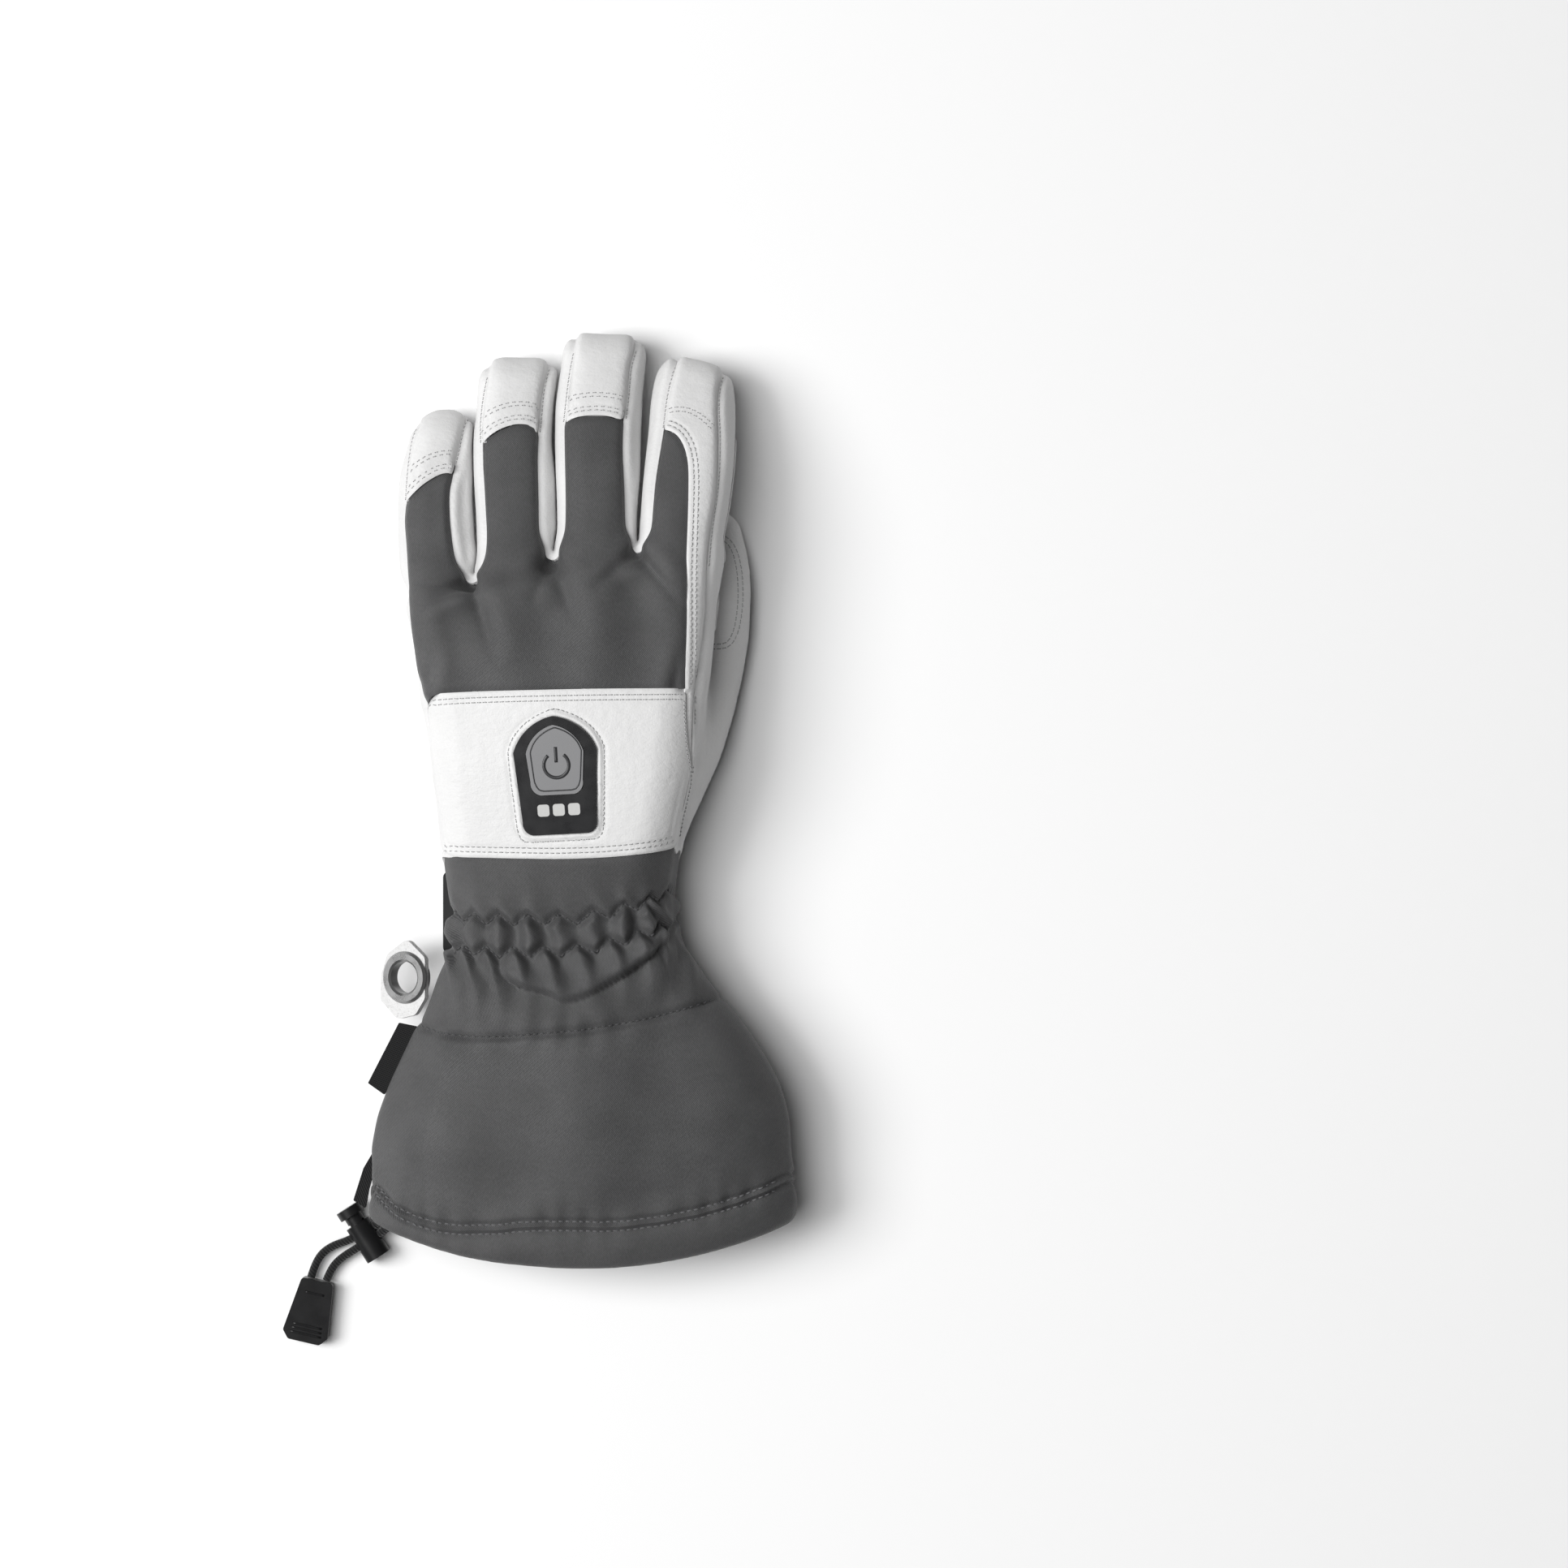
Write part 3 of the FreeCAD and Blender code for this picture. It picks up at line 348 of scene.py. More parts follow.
# ---------------------------------------------------------------- fields of the soft shell
def tube_field(x, y, z, rows, crown=None, inset=0.0):
    """Signed distance, nearly, to a flattened tube along Y given by its cross-sections; its top is domed by crown."""
    left, right, low, high, radius, roll = [
        eased(y, [(row[0], row[i]) for row in rows]) for i in range(1, 7)]
    middle = (left + right) / 2
    centre = (low + high) / 2
    turn = np.radians(roll)
    u = (x - middle) * np.cos(turn) + (z - centre) * np.sin(turn)
    w = (z - centre) * np.cos(turn) - (x - middle) * np.sin(turn)
    half_u = (right - left) / 2 - inset
    half_w = (high - low) / 2 - inset
    corner = np.maximum(radius - inset * 0.6, 2.0)
    if crown:
        dome = eased(y, crown) * (0.15 + 0.85 * smooth_step(w, 0.0, 8.0))
        half_w = half_w - dome * np.minimum(np.abs(u / half_u), 1.0) ** 2.2
    corner = np.minimum(corner, half_w - 0.2)
    qu = np.abs(u) - (half_u - corner)
    qw = np.abs(w) - (half_w - corner)
    return np.hypot(np.maximum(qu, 0), np.maximum(qw, 0)) + np.minimum(np.maximum(qu, qw), 0) - corner


def finger_field(x, y, z, finger):
    rows = finger["rows"]
    middle = (rows[-1][1] + rows[-1][2]) / 2
    tip = (y - finger["tip"]) - finger["slope"] * (x - middle)
    return cut_to(tube_field(x, y, z, rows, crown=FINGER_CROWN), tip, finger["corner"])


def thumb_field(x, y, z):
    return cut_to(tube_field(x, y, z, THUMB), y - THUMB_TIP_Y, 6.5)


def gap_field(x, y):
    """Distance outside the thin gaps between the fingers, negative in a gap."""
    field = np.full(np.broadcast(x, y).shape, 50.0)
    for gap in GAPS:
        across = np.abs(x - eased(y, [(p[1], p[0]) for p in gap], 2.0)) - 0.15
        along = gap[0][1] + 4.5 - y
        field = np.minimum(field, np.hypot(np.maximum(across, 0), np.maximum(along, 0))
                           + np.minimum(np.maximum(across, along), 0))
    return field


def palm_field(x, y, z):
    """The hand with its fingers, without the thumb."""
    front = y - (KNUCKLE_Y + KNUCKLE_SLOPE * x)
    field = cut_to(tube_field(x, y, z, SHELL, crown=CROWN), front, 5.0)
    for finger in FINGERS.values():
        root = 7.0 * (1 - smooth_step(y, 58.0, 88.0))
        field = joined(field, np.maximum(finger_field(x, y, z, finger) + root, 62.0 - y), 6.0)
    return cut_to(field, -gap_field(x, y), EDGE_RADIUS)


def glove_field(x, y, z):
    """The whole soft shell: hand, fingers, thumb and cuff, hollowed from the cuff's mouth to the wrist."""
    palm = palm_field(x, y, z)
    thumb = thumb_field(x, y, z)
    free = smooth_step(y, THUMB_FREE_Y - 4.0, THUMB_FREE_Y + 2.0)
    palm_clear = np.maximum(palm, 0.9 * free - thumb - 14.0 * (1 - free))
    field = joined(palm_clear, thumb, 9.0 * (1 - free) + 0.05)
    mouth = np.hypot(x - MOUTH_CENTRE[0], y - MOUTH_CENTRE[1]) - MOUTH_RADIUS
    field = cut_to(field, mouth, EDGE_RADIUS)
    cavity = cut_to(tube_field(x, y, z, SHELL, crown=CROWN, inset=HEM_WALL), y - CAVITY_END_Y, 8.0)
    return cut_to(field, -cavity, EDGE_RADIUS)


def field_mesh():
    """Vertices and triangles of the soft shell."""
    axes = [np.arange(low, high, STEP, dtype=np.float32)
            for low, high in SHELL_ROOM]
    x, y, z = np.meshgrid(*axes, indexing="ij", sparse=True)
    field = np.clip(glove_field(x, y, z), -4 * STEP, 4 * STEP).astype(np.float32)
    grid = openvdb.FloatGrid(4 * STEP)
    grid.copyFromArray(field)
    points, quads = grid.convertToQuads(isovalue=0.0)
    vertices = np.array(points, float) * STEP + [a[0] for a in axes]
    quads = np.array(quads, int)
    triangles = np.vstack([quads[:, [0, 1, 2]], quads[:, [0, 2, 3]]])
    return vertices, triangles


# ---------------------------------------------------------------- relief of the fabric and leather
# Creases of the back that run out from the crotches: start, end, depth and width
BACK_CREASES = (
    ((-38.2, 79), (-60.5, 69.5), 1.1, 2.6), ((-36.8, 79), (-27, 48), 1, 3.6), ((-8.6, 87), (-15, 70), 0.6, 3),
    ((-7.2, 87), (3, 62), 0.9, 3.8), ((22.6, 89.6), (8, 77), 0.8, 3), ((24.6, 89.6), (41, 70), 1.1, 3.2),
    ((-53, 44), (-50, 56), 0.6, 2.6), ((38, 42), (40.5, 56), 0.5, 2.6),
)
PALM_CREASES = (
    ((22, 52.5), (8, 62), 0.9, 2.6), ((22, 52.5), (14, 70), 0.7, 2.6), ((21, 51), (3, 45), 0.6, 3),
    ((-36.5, 80), (-26, 66), 0.5, 2.4), ((-36.5, 80), (-46, 68), 0.5, 2.4), ((-8, 88), (-2, 76), 0.4, 2.4),
    ((-8, 88), (-16, 78), 0.4, 2.4), ((-12, -27), (-16, -16), 0.8, 2.4), ((-2, -27), (2, -14), 0.8, 2.4),
    ((-24, -27), (-20, -18), 0.6, 2),
)
THUMB_CREASES = (
    ((22.5, 54), (33, 46), 0.9, 2.2), ((25, 58), (34, 52), 0.7, 2), ((28, 66), (36, 60), 0.5, 2),
)


def waves(x, y, scale):
    """Gentle unevenness without a pattern, about -1 to 1."""
    a = np.sin(x / scale + 1.3 * np.sin(y / (1.7 * scale)) + 0.7)
    b = np.sin(y / (1.2 * scale) - 1.1 * np.sin(x / (1.4 * scale) + 2.0))
    return 0.5 * (a + b)


def crease_relief(x, y, creases):
    """Valleys with a soft ridge on each side, deepest at their start."""
    relief = np.zeros(x.shape)
    for start, end, depth, width in creases:
        d, along = line_distance(x, y, np.array([start, end], float))
        fade = (1 - along) ** 0.7
        relief += fade * depth * (0.7 * bump(d - 1.9 * width, 1.2 * width) - bump(d, 0.7 * width))
    return relief


def gather_relief(x, y):
    """Puffs between and beside the two zigzag rows of the gathered wrist."""
    order = np.arange(len(GATHER_CRESTS), dtype=float)
    phase = np.interp(x, GATHER_CRESTS, order)
    lean = np.interp(x + 0.3 * (y + 49.0) + 0.9 * np.sin(y / 2.6 + x / 9.0), GATHER_CRESTS, order)
    zigzag = 1 - 4 * np.abs(phase - np.round(phase))
    row_1 = eased(x, GATHER_ROW_1) + GATHER_REACH * zigzag
    row_2 = eased(x, GATHER_ROW_2) - GATHER_REACH * zigzag
    crest = np.cos(2 * np.pi * lean) * (0.8 + 0.35 * np.sin(1.9 * phase + 0.5))
    between = smooth_step(y, row_2, row_2 + 3.5) * (1 - smooth_step(y, row_1 - 3.5, row_1))
    relief = between * (0.8 + 1.9 * crest)
    above = y - row_1
    relief += np.where(above > 0, -0.9 * crest * np.exp(-above / 4.5) * smooth_step(above, 0, 2.0) + 0.5 *
                       np.exp(-above / 6.0), 0)
    below = row_2 - y
    skewed = np.cos(2 * np.pi * np.interp(x - 0.4 * np.clip(below, 0, 14), GATHER_CRESTS, order))
    relief += np.where(below > 0, -2.1 * skewed * np.exp(-below / 9.0) * smooth_step(below, 0, 2.5), 0)
    relief -= 1.7 * bump(above * 0.8, 1.3) + 1.7 * bump(below * 0.8, 1.3)
    return relief


def slack_relief(x, y):
    """The slack fabric below the gathers, rolled over a dark crease."""
    edge = rounded(SLACK_EDGE, closed=False)
    d, along = line_distance(x, y, edge)
    above = y > np.interp(x, edge[:, 0], edge[:, 1])
    fade = smooth_step(along, 0.0, 0.2) * (1 - smooth_step(along, 0.8, 1.0))
    fade *= 0.75 + 0.25 * np.sin(9.0 * along + 0.8)
    swell = 3.2 * bump(d - 3.4, 4.8) * smooth_step(d, 0.0, 2.2)
    return fade * np.where(above, swell, -1.9 * np.exp(-d / 3.2) + 0.9 * bump(d - 9.0, 5.0))


def wrist_relief(x, y, back):
    """Gathers and slack cloth on the back of the wrist, plain folds on its palm side."""
    relief = gather_relief(x, y) + slack_relief(x, y)
    rise = 1.2 * bump(y + 70.0, 9.0) * waves(x, y, 7.0)
    dents = -2.2 * bump(np.hypot(x - 38.0, (y + 62.0) / 2.2), 3.4)
    folds = 0.9 * np.sin(x / 3.4 + 0.6 * np.sin(y / 6.0)) * bump(y + 52.0, 22.0)
    return back * (relief + rise + dents) + (1 - back) * folds


def puckers(x, away, depth, pitch, drift):
    """Small uneven puckers on both sides of a seam."""
    return depth * np.sin(x / pitch + 2.0 * np.sin(x / drift)) * np.exp(-np.abs(away) / 4.0)


def cuff_relief(x, y, seam, hem_row):
    """Padded cuff: soft bands, puckers beside its seams and the drawn hem."""
    span = smooth_step(seam - y, 0.0, 10.0) * smooth_step(y - hem_row, 0.0, 10.0)
    relief = span * (0.9 * np.sin(x / 8.0 + 0.9) + 0.6 * waves(x, y, 15.0))
    relief += puckers(x, seam - y, 0.55, 1.9, 11.0)
    relief += puckers(x, y - hem_row, 0.45, 1.6, 9.0)
    relief -= 1.5 * bump(y - seam, 1.5)
    lower = hem_row - HEM_ROW_PITCH
    relief -= 1.2 * bump(y - hem_row, 1.0) + 1.2 * bump(y - lower, 1.0)
    relief += 0.5 * bump(y - (hem_row + lower) / 2, 1.0) + 1.1 * bump(y - lower + 7.0, 5.0)
    return relief


# ---------------------------------------------------------------- the shell cut into its panels
COLUMNS = ("x", "y", "z", "nx", "ny", "nz", "fabric", "band", "little", "ring", "middle", "index", "patch",
           "index_patch", "thumb_fabric", "owner", "wrist", "cuff", "hem", "lining", "finger_split", "thumb_split",
           "finger")
AT = {name: i for i, name in enumerate(COLUMNS)}
PANELS = ("leather", "fabric", "band", "little_cap", "ring_cap", "middle_cap", "index_dorsal", "thumb_fabric",
          "patch", "index_patch", "gusset", "cuff", "hem", "lining")
CAP_PANELS = ("little_cap", "ring_cap", "middle_cap", "index_dorsal")
LAYERS = (*PANELS[1:7], "patch", "index_patch", "thumb_fabric", *PANELS[10:])        # each lies over those before it
OFF_THUMB = ("fabric", "band", "index_dorsal", "patch", "index_patch")              # the thumb lies over these
WOVEN = ("fabric", "thumb_fabric", "gusset", "cuff", "hem")
FEWEST_FACES = 12                            # a smaller scrap of a panel is left out
BODIES = ("hand", "little_finger", "ring_finger", "middle_finger", "index_finger", "thumb")


def vertex_normals(vertices, triangles):
    a, b, c = (vertices[triangles[:, i]] for i in range(3))
    face = np.cross(b - a, c - a)
    out = np.zeros_like(vertices)
    for i in range(3):
        for axis in range(3):
            out[:, axis] += np.bincount(triangles[:, i], face[:, axis], len(vertices))
    return unit(out)


def smoothed(values, triangles, passes):
    """Values at vertices averaged with their neighbours'."""
    a, b, c = triangles.T
    ends = np.concatenate([a, b, c, b, c, a])
    others = np.concatenate([b, c, a, a, b, c])
    count = np.maximum(np.bincount(ends, minlength=len(values)), 1)[:, None]
    for _ in range(passes):
        total = np.stack([np.bincount(ends, values[others, i], len(values)) for i in range(values.shape[1])], 1)
        values = 0.4 * values + 0.6 * total / count
    return values


def finger_of(x, y):
    """Which finger each place belongs to, 0 to 3 from the little finger, by the gaps between them."""
    return sum((x > eased(y, [(p[1], p[0]) for p in gap], 2.0)).astype(float) for gap in GAPS)


def scallops(x):
    """The wavy seam between the palm's leather and the wrist, about its mean line."""
    return 1.6 * np.cos(x / 3.6 + 0.8 * np.sin(x / 7.0))


def shell_data(vertices, triangles):
    """One row of COLUMNS for each vertex of the shell."""
    vertices = smoothed(vertices, triangles, 2)
    x, y, z = vertices.T
    normal = unit(smoothed(vertex_normals(vertices, triangles), triangles, 4))
    data = np.zeros((len(vertices), len(COLUMNS)))
    data[:, 0:3] = vertices
    data[:, 3:6] = normal
    facing = {"back": 8.0 * (-0.05 - normal[:, 2]), "palm": 8.0 * (normal[:, 2] + 0.1)}

    def outline(name, points, side):
        where = facing[side] < 3.0
        field = np.full(x.shape, FIELD_REACH)
        field[where] = outline_field(x[where], y[where], rounded(points))
        data[:, AT[name]] = np.maximum(field, facing[side])

    for name, points in {"fabric": BACK_FABRIC, "band": BAND, **CAPS, "index": INDEX_DORSAL}.items():
        outline(name, points, "back")
    outline("patch", PALM_PATCH, "palm")
    outline("index_patch", INDEX_PATCH, "palm")
    owner = thumb_field(x, y, z) - palm_field(x, y, z)
    plan = outline_field(x, y, rounded(THUMB_FABRIC), reach=60.0)
    under = np.maximum(plan, z - THUMB_SEAM_Z - 0.12 * np.clip(40.0 - y, 0, 80))
    data[:, AT["thumb_fabric"]] = np.clip(np.maximum(under, owner - 3.0), -FIELD_REACH, FIELD_REACH)
    data[:, AT["owner"]] = np.clip(owner, -FIELD_REACH, FIELD_REACH)
    share = smooth_step(normal[:, 2], -0.35, 0.35)
    data[:, AT["wrist"]] = share * eased(x, BAND_FOOT_Y) + (1 - share) * (SCALLOP_Y + scallops(x)) - y
    data[:, AT["cuff"]] = y - (share * eased(x, CUFF_SEAM_BACK) + (1 - share) * eased(x, CUFF_SEAM_PALM))
    data[:, AT["hem"]] = y - (share * eased(x, HEM_ROW_BACK) + (1 - share) * eased(x, HEM_ROW_PALM))
    inner = tube_field(x, y, z, SHELL, crown=CROWN, inset=HEM_WALL)
    mouth = MOUTH_RADIUS - np.hypot(x - MOUTH_CENTRE[0], y - MOUTH_CENTRE[1])
    turned = np.where(inner < 1.2, TURNED_HEM - mouth, 5.0)
    data[:, AT["lining"]] = np.where(y < CAVITY_END_Y + 12.0, turned, FIELD_REACH)
    finger = finger_of(x, y)
    splits = np.array([f["split"] for f in FINGERS.values()])
    data[:, AT["finger_split"]] = y - splits[finger.astype(int)]
    data[:, AT["thumb_split"]] = y - THUMB_SPLIT_Y
    data[:, AT["finger"]] = finger
    return data


def split_along(data, triangles, name):
    """Cuts every triangle in which the named column changes sign."""
    field = data[:, AT[name]].copy()
    field[np.abs(field) < 1e-4] = 1e-4
    side = field > 0
    above = side[triangles].sum(1)
    crossing = (above == 1) | (above == 2)
    cut = triangles[crossing]
    sides = side[cut]
    lone = np.where(sides.sum(1) == 1, sides.argmax(1), (~sides).argmax(1))
    rows = np.arange(len(cut))
    a, b, c = (cut[rows, (lone + i) % 3] for i in range(3))
    edges = np.sort(np.vstack([np.stack([a, b], 1), np.stack([a, c], 1)]), 1)
    unique, inverse = np.unique(edges, axis=0, return_inverse=True)
    inverse = inverse.ravel()
    p, q = unique.T
    t = np.clip(field[p] / (field[p] - field[q]), 0.02, 0.98)[:, None]
    added = data[p] + (data[q] - data[p]) * t
    added[:, AT[name]] = 0.0
    ab = len(data) + inverse[:len(cut)]
    ac = len(data) + inverse[len(cut):]
    parts = [triangles[~crossing], np.stack([a, ab, ac], 1), np.stack([ab, b, c], 1), np.stack([ab, c, ac], 1)]
    return np.vstack([data, added]), np.vstack(parts)


def panel_labels(data, triangles):
    """Panel of each triangle, as a place in PANELS."""
    mean = {name: data[:, AT[name]][triangles].mean(1) for name in COLUMNS}
    label = np.full(len(triangles), PANELS.index("leather"))
    on_thumb = (mean["owner"] < 0) & (mean["y"] > -18.0)
    for name in LAYERS:
        column = name.split("_")[0] if name in CAP_PANELS else {"gusset": "wrist"}.get(name, name)
        inner = mean[column] < (-HEM_ROW_PITCH / 2 if name == "hem" else 0)
        if name == "gusset":
            inner = mean[column] > 0
        if name in OFF_THUMB:
            inner &= ~on_thumb
        label[inner] = PANELS.index(name)
    return label


def body_labels(data, triangles):
    """Body that each triangle is grouped under, as a place in BODIES."""
    mean = {name: data[:, AT[name]][triangles].mean(1) for name in ("finger_split", "thumb_split", "finger", "owner")}
    body = np.where(mean["finger_split"] > 0, 1 + np.round(mean["finger"]).astype(int), 0)
    thumb = (mean["owner"] < 0) & (mean["thumb_split"] > 0)
    return np.where(thumb, BODIES.index("thumb"), body)


def overlay_relief(d, laid, decay=True):
    """Height of a leather piece near its edge: raised where it is laid over fabric, sunk where it is turned in."""
    channels = 0.3 * (bump(d - 2.1, 0.6) + bump(d - 3.8, 0.6))
    height = laid * (0.45 + 0.5 * smooth_step(d, 0.0, 0.9) - channels)
    height += (1 - laid) * (0.95 * smooth_step(d, 0.0, 3.0) - 0.9 * bump(d, 1.1))
    return height * (1 - 0.6 * smooth_step(d, 8.6, 10.6)) if decay else height


def line_relief(x, y, lines, depth, width, roll=0.3):
    """Stitched valleys along open lines."""
    relief = np.zeros(x.shape)
    for line in lines:
        points = rounded(line, closed=False, spacing=2.5)
        near = near_line(x, y, points, 8)
        d, _ = line_distance(x[near], y[near], points)
        relief[near] += roll * bump(d - 2.0 * width, 1.3 * width) - depth * bump(d, width)
    return relief


# Seams of the palm side, seen from above
LITTLE_SIDE_SEAM = (
    (-44, -26), (-45.4, -13.8), (-47.9, 10), (-52.2, 33), (-55.2, 57), (-58.2, 75), (-60.7, 96), (-61, 112),
    (-58.9, 128), (-56.4, 139),
)
PIPED_SEAM = ((11.2, -13), (9, 0), (6.9, 15.6), (6.4, 28.2), (8.8, 38.7), (12.8, 46.4), (21.9, 51.6))
FINGER_LOOPS = (
    ((-48.4, 128), (-46.2, 118), (-43.4, 106), (-41.2, 94), (-40.6, 85), (-38.8, 79.6), (-36.2, 78.4), (-33.6, 81),
     (-32.6, 86), (-33, 98), (-33.6, 110), (-33, 126), (-30.8, 142), (-28.4, 156)),
    ((-13.6, 156), (-13.2, 142), (-12.8, 126), (-12.6, 112), (-11.6, 98), (-11.2, 91), (-9.4, 87.2), (-6.8, 86.4),
     (-4.4, 89.4), (-3.2, 96), (-1.6, 112), (-1.2, 126), (1.2, 142), (5.4, 160)),
    ((19.2, 162), (18.6, 146), (18.6, 130), (19, 116), (19.2, 102), (20, 94), (21.8, 90), (24.4, 88.8), (27.4, 91),
     (28.4, 97), (28.6, 108), (28.8, 122), (30.2, 138), (34.2, 152)),
)
INDEX_OUTER_SEAM = ((53.6, 88), (55, 104), (55.6, 118), (55.8, 132), (55.4, 144), (54.4, 155))
TIP_FOLDS = (
    ((-48.6, 127), (-47.6, 136), (-48.4, 144)), ((-28.6, 154), (-27.2, 160), (-28.6, 164)),
    ((5.2, 158), (6.4, 166), (5, 173)), ((46.6, 150), (49.8, 156), (50.6, 162)),
)


def panel_relief(name, d):
    """How far each vertex of a panel stands out, in millimetres; d is the panel's rows of COLUMNS."""
    col = {key: d[:, AT[key]] for key in COLUMNS}
    x, y = col["x"], col["y"]
    back = smooth_step(col["nz"], -0.3, 0.3)
    caps = np.minimum.reduce([np.abs(col[c]) for c in ("little", "ring", "middle", "index")])
    laid_on_fabric = smooth_step(-col["fabric"], 0.2, 1.6)
    if name == "leather":
        seam = np.minimum.reduce([np.abs(col[c]) for c in ("fabric", "band")] + [caps])
        relief = -0.9 * bump(seam, 1.1) + 0.4 * bump(seam - 2.4, 1.6)
        thumb_edge = np.abs(col["thumb_fabric"])
        relief += -0.8 * bump(thumb_edge, 1.0) + 0.5 * bump(thumb_edge - 1.8, 1.2)
        relief -= 0.25 * bump(col["patch"], 1.0) + 0.25 * bump(col["index_patch"], 1.0)
        palm = 1 - back
        lines = (LITTLE_SIDE_SEAM, PIPED_SEAM, INDEX_OUTER_SEAM) + FINGER_LOOPS
        hand = smooth_step(col["owner"], -1.0, 0.5)
        relief += palm * hand * line_relief(x, y, lines, 0.8, 0.9)
        relief += palm * hand * line_relief(x, y, TIP_FOLDS, 0.9, 1.1, roll=0.6)
        relief += palm * hand * (crease_relief(x, y, PALM_CREASES) + 0.35 * waves(x, y, 9.0))
        relief += (1 - hand) * (crease_relief(x, y, THUMB_CREASES) + 0.3 * waves(x, y, 7.0))
        return relief + 0.25 * waves(x + 30, y, 5.0) * back
    if name == "fabric":
        seam = np.abs(col["fabric"])
        relief = -0.9 * bump(seam, 1.1) + 0.3 * bump(seam - 2.4, 1.8)
        relief -= 0.45 * bump(np.minimum(caps, np.abs(col["band"])), 1.1)
        relief += 1.6 * crease_relief(x, y, BACK_CREASES)
        relief += 1.3 * np.cos(2 * np.pi * (x + 22.5) / 31.5) * bump(y - 66.0, 24.0)
        return relief + 0.4 * waves(x, y, 11.0)
    if name in CAP_PANELS:
        depth = -col[name.split("_")[0]]
        relief = overlay_relief(depth, laid_on_fabric)
        if name == "index_dorsal":
            return relief + 0.2 * waves(x, y, 6.0)
        relief -= laid_on_fabric * 0.3 * (bump(depth - 7.2, 0.6) + bump(depth - 8.7, 0.6))
        return relief + 0.3 * waves(x, y, 5.0)
    if name == "band":
        laid = 1 - smooth_step(np.abs(x + 5.0), 42.0, 47.0)
        relief = overlay_relief(-col["band"], laid, decay=False)
        return relief + badge_lip(x, y) + 0.3 * waves(x, y, 12.0)
    if name == "patch":
        laid = smooth_step(line_distance(x, y, np.array(PIPED_SEAM))[0], 1.0, 5.0)
        relief = overlay_relief(-col["patch"], laid, decay=False)
        return relief + crease_relief(x, y, PALM_CREASES) + 0.35 * waves(x, y, 9.0)
    if name == "index_patch":
        return overlay_relief(-col["index_patch"], np.ones(x.shape), decay=False)
    if name == "thumb_fabric":
        seam = np.abs(col["thumb_fabric"])
        return -0.8 * bump(seam, 1.0) + 0.3 * bump(seam - 3.0, 2.0) + 0.4 * waves(x, y, 10.0)
    if name == "lining":
        return 0.5 * np.sin(x / 4.0) * np.sin(y / 5.0)
    seam = y - col["cuff"]
    hem_row = y - col["hem"]
    near_band = smooth_step(col["wrist"], 0.5, 8.0)
    near_cuff = smooth_step(col["cuff"], -2.0, 6.0)
    relief = near_band * near_cuff * wrist_relief(x, y, back)
    relief += (1 - near_cuff) * cuff_relief(x, y, seam, hem_row)
    relief += near_cuff * puckers(x, y - seam, 0.55, 1.9, 11.0)
    relief -= 0.5 * bump(col["wrist"], 1.3)
    return relief


def cloth_places(rows, around):
    """Where each vertex lies on the flat cloth: along the girth of the wrist and cuff or along X, and along Y."""
    x, y, z = rows[:, 0], rows[:, 1], rows[:, 2]
    girth = x
    if around:
        left, right, low, high, radius = [eased(y, [(row[0], row[i]) for row in SHELL]) for i in range(1, 6)]
        half_u, half_w = (right - left) / 2, (high - low) / 2
        flat_u, flat_w = half_u - radius, np.maximum(half_w - radius, 0.0)
        u, w = x - (left + right) / 2, z - (low + high) / 2
        over, beyond = np.maximum(np.abs(u) - flat_u, 0.0), np.maximum(np.abs(w) - flat_w, 0.0)
        turn = radius * np.arctan2(over, np.maximum(beyond, 1e-3))
        quarter = flat_u + radius * math.pi / 2 + flat_w
        run = np.minimum(np.abs(u), flat_u) + turn + np.where(beyond > 0, 0.0, flat_w - np.abs(w))
        girth = np.sign(u) * np.where(w > 0, run, 2 * quarter - run)
    return np.stack([girth, y, np.zeros(len(y))], 1)


# ---------------------------------------------------------------- badge outline, also in CAD
BADGE_AT = (-5.0, 9.0)
BADGE_YAW = 3.0


def shield(half, foot, shoulder, apex, grow):
    """Pointed-arch outline as points, anticlockwise from the foot's right end."""
    half += grow
    foot -= grow
    apex += grow
    side = half * 0.86
    right = [(side - 3.0, foot), (side - 1.4, foot + 0.4), (side - 0.4, foot + 1.6), (side + 0.3, foot + 3.4),
             (side + 0.5, foot + 5.0)]
    mid = (half * 0.66, shoulder + (apex - shoulder) * 0.62)
    start, mid, end = np.array([(half, shoulder), mid, (0.0, apex)])
    for t in np.linspace(0, 1, 9):
        right.append(tuple(start * (1 - t) * (1 - 2 * t) + mid * 4 * t * (1 - t) + end * t * (2 * t - 1)))
    left = [(-px, py) for px, py in reversed(right[:-1])]
    return np.array(right + left)


def on_badge(points, shift=0.0):
    """Places in the plan from the badge's own axes, moved up the badge by shift."""
    turn = math.radians(BADGE_YAW)
    return [(u * math.cos(turn) - (v + shift) * math.sin(turn) + BADGE_AT[0],
             u * math.sin(turn) + (v + shift) * math.cos(turn) + BADGE_AT[1]) for u, v in points]


def badge_line(grow):
    """The badge's outline in the plan, grown by grow."""
    return np.array(on_badge(shield(15.4, -21.6, 9.0, 21.8, grow)))


def badge_lip(x, y):
    """The leather stands up round the badge and dips along its stitches."""
    d = outline_field(x, y, badge_line(0.0), reach=12.0)
    sunk = -1.2 * smooth_step(-d, 0.0, 1.5) - 2.0 * smooth_step(-d, 2.0, 5.0)
    return np.where(d < 0, sunk, 0.7 * bump(d - 0.8, 1.1) - 0.35 * bump(d - 2.5, 0.8))


# ---------------------------------------------------------------- meshes and objects
def added(name, data):
    """A new object in the scene."""
    obj = bpy.data.objects.new(name, data)
    bpy.context.scene.collection.objects.link(obj)
    return obj


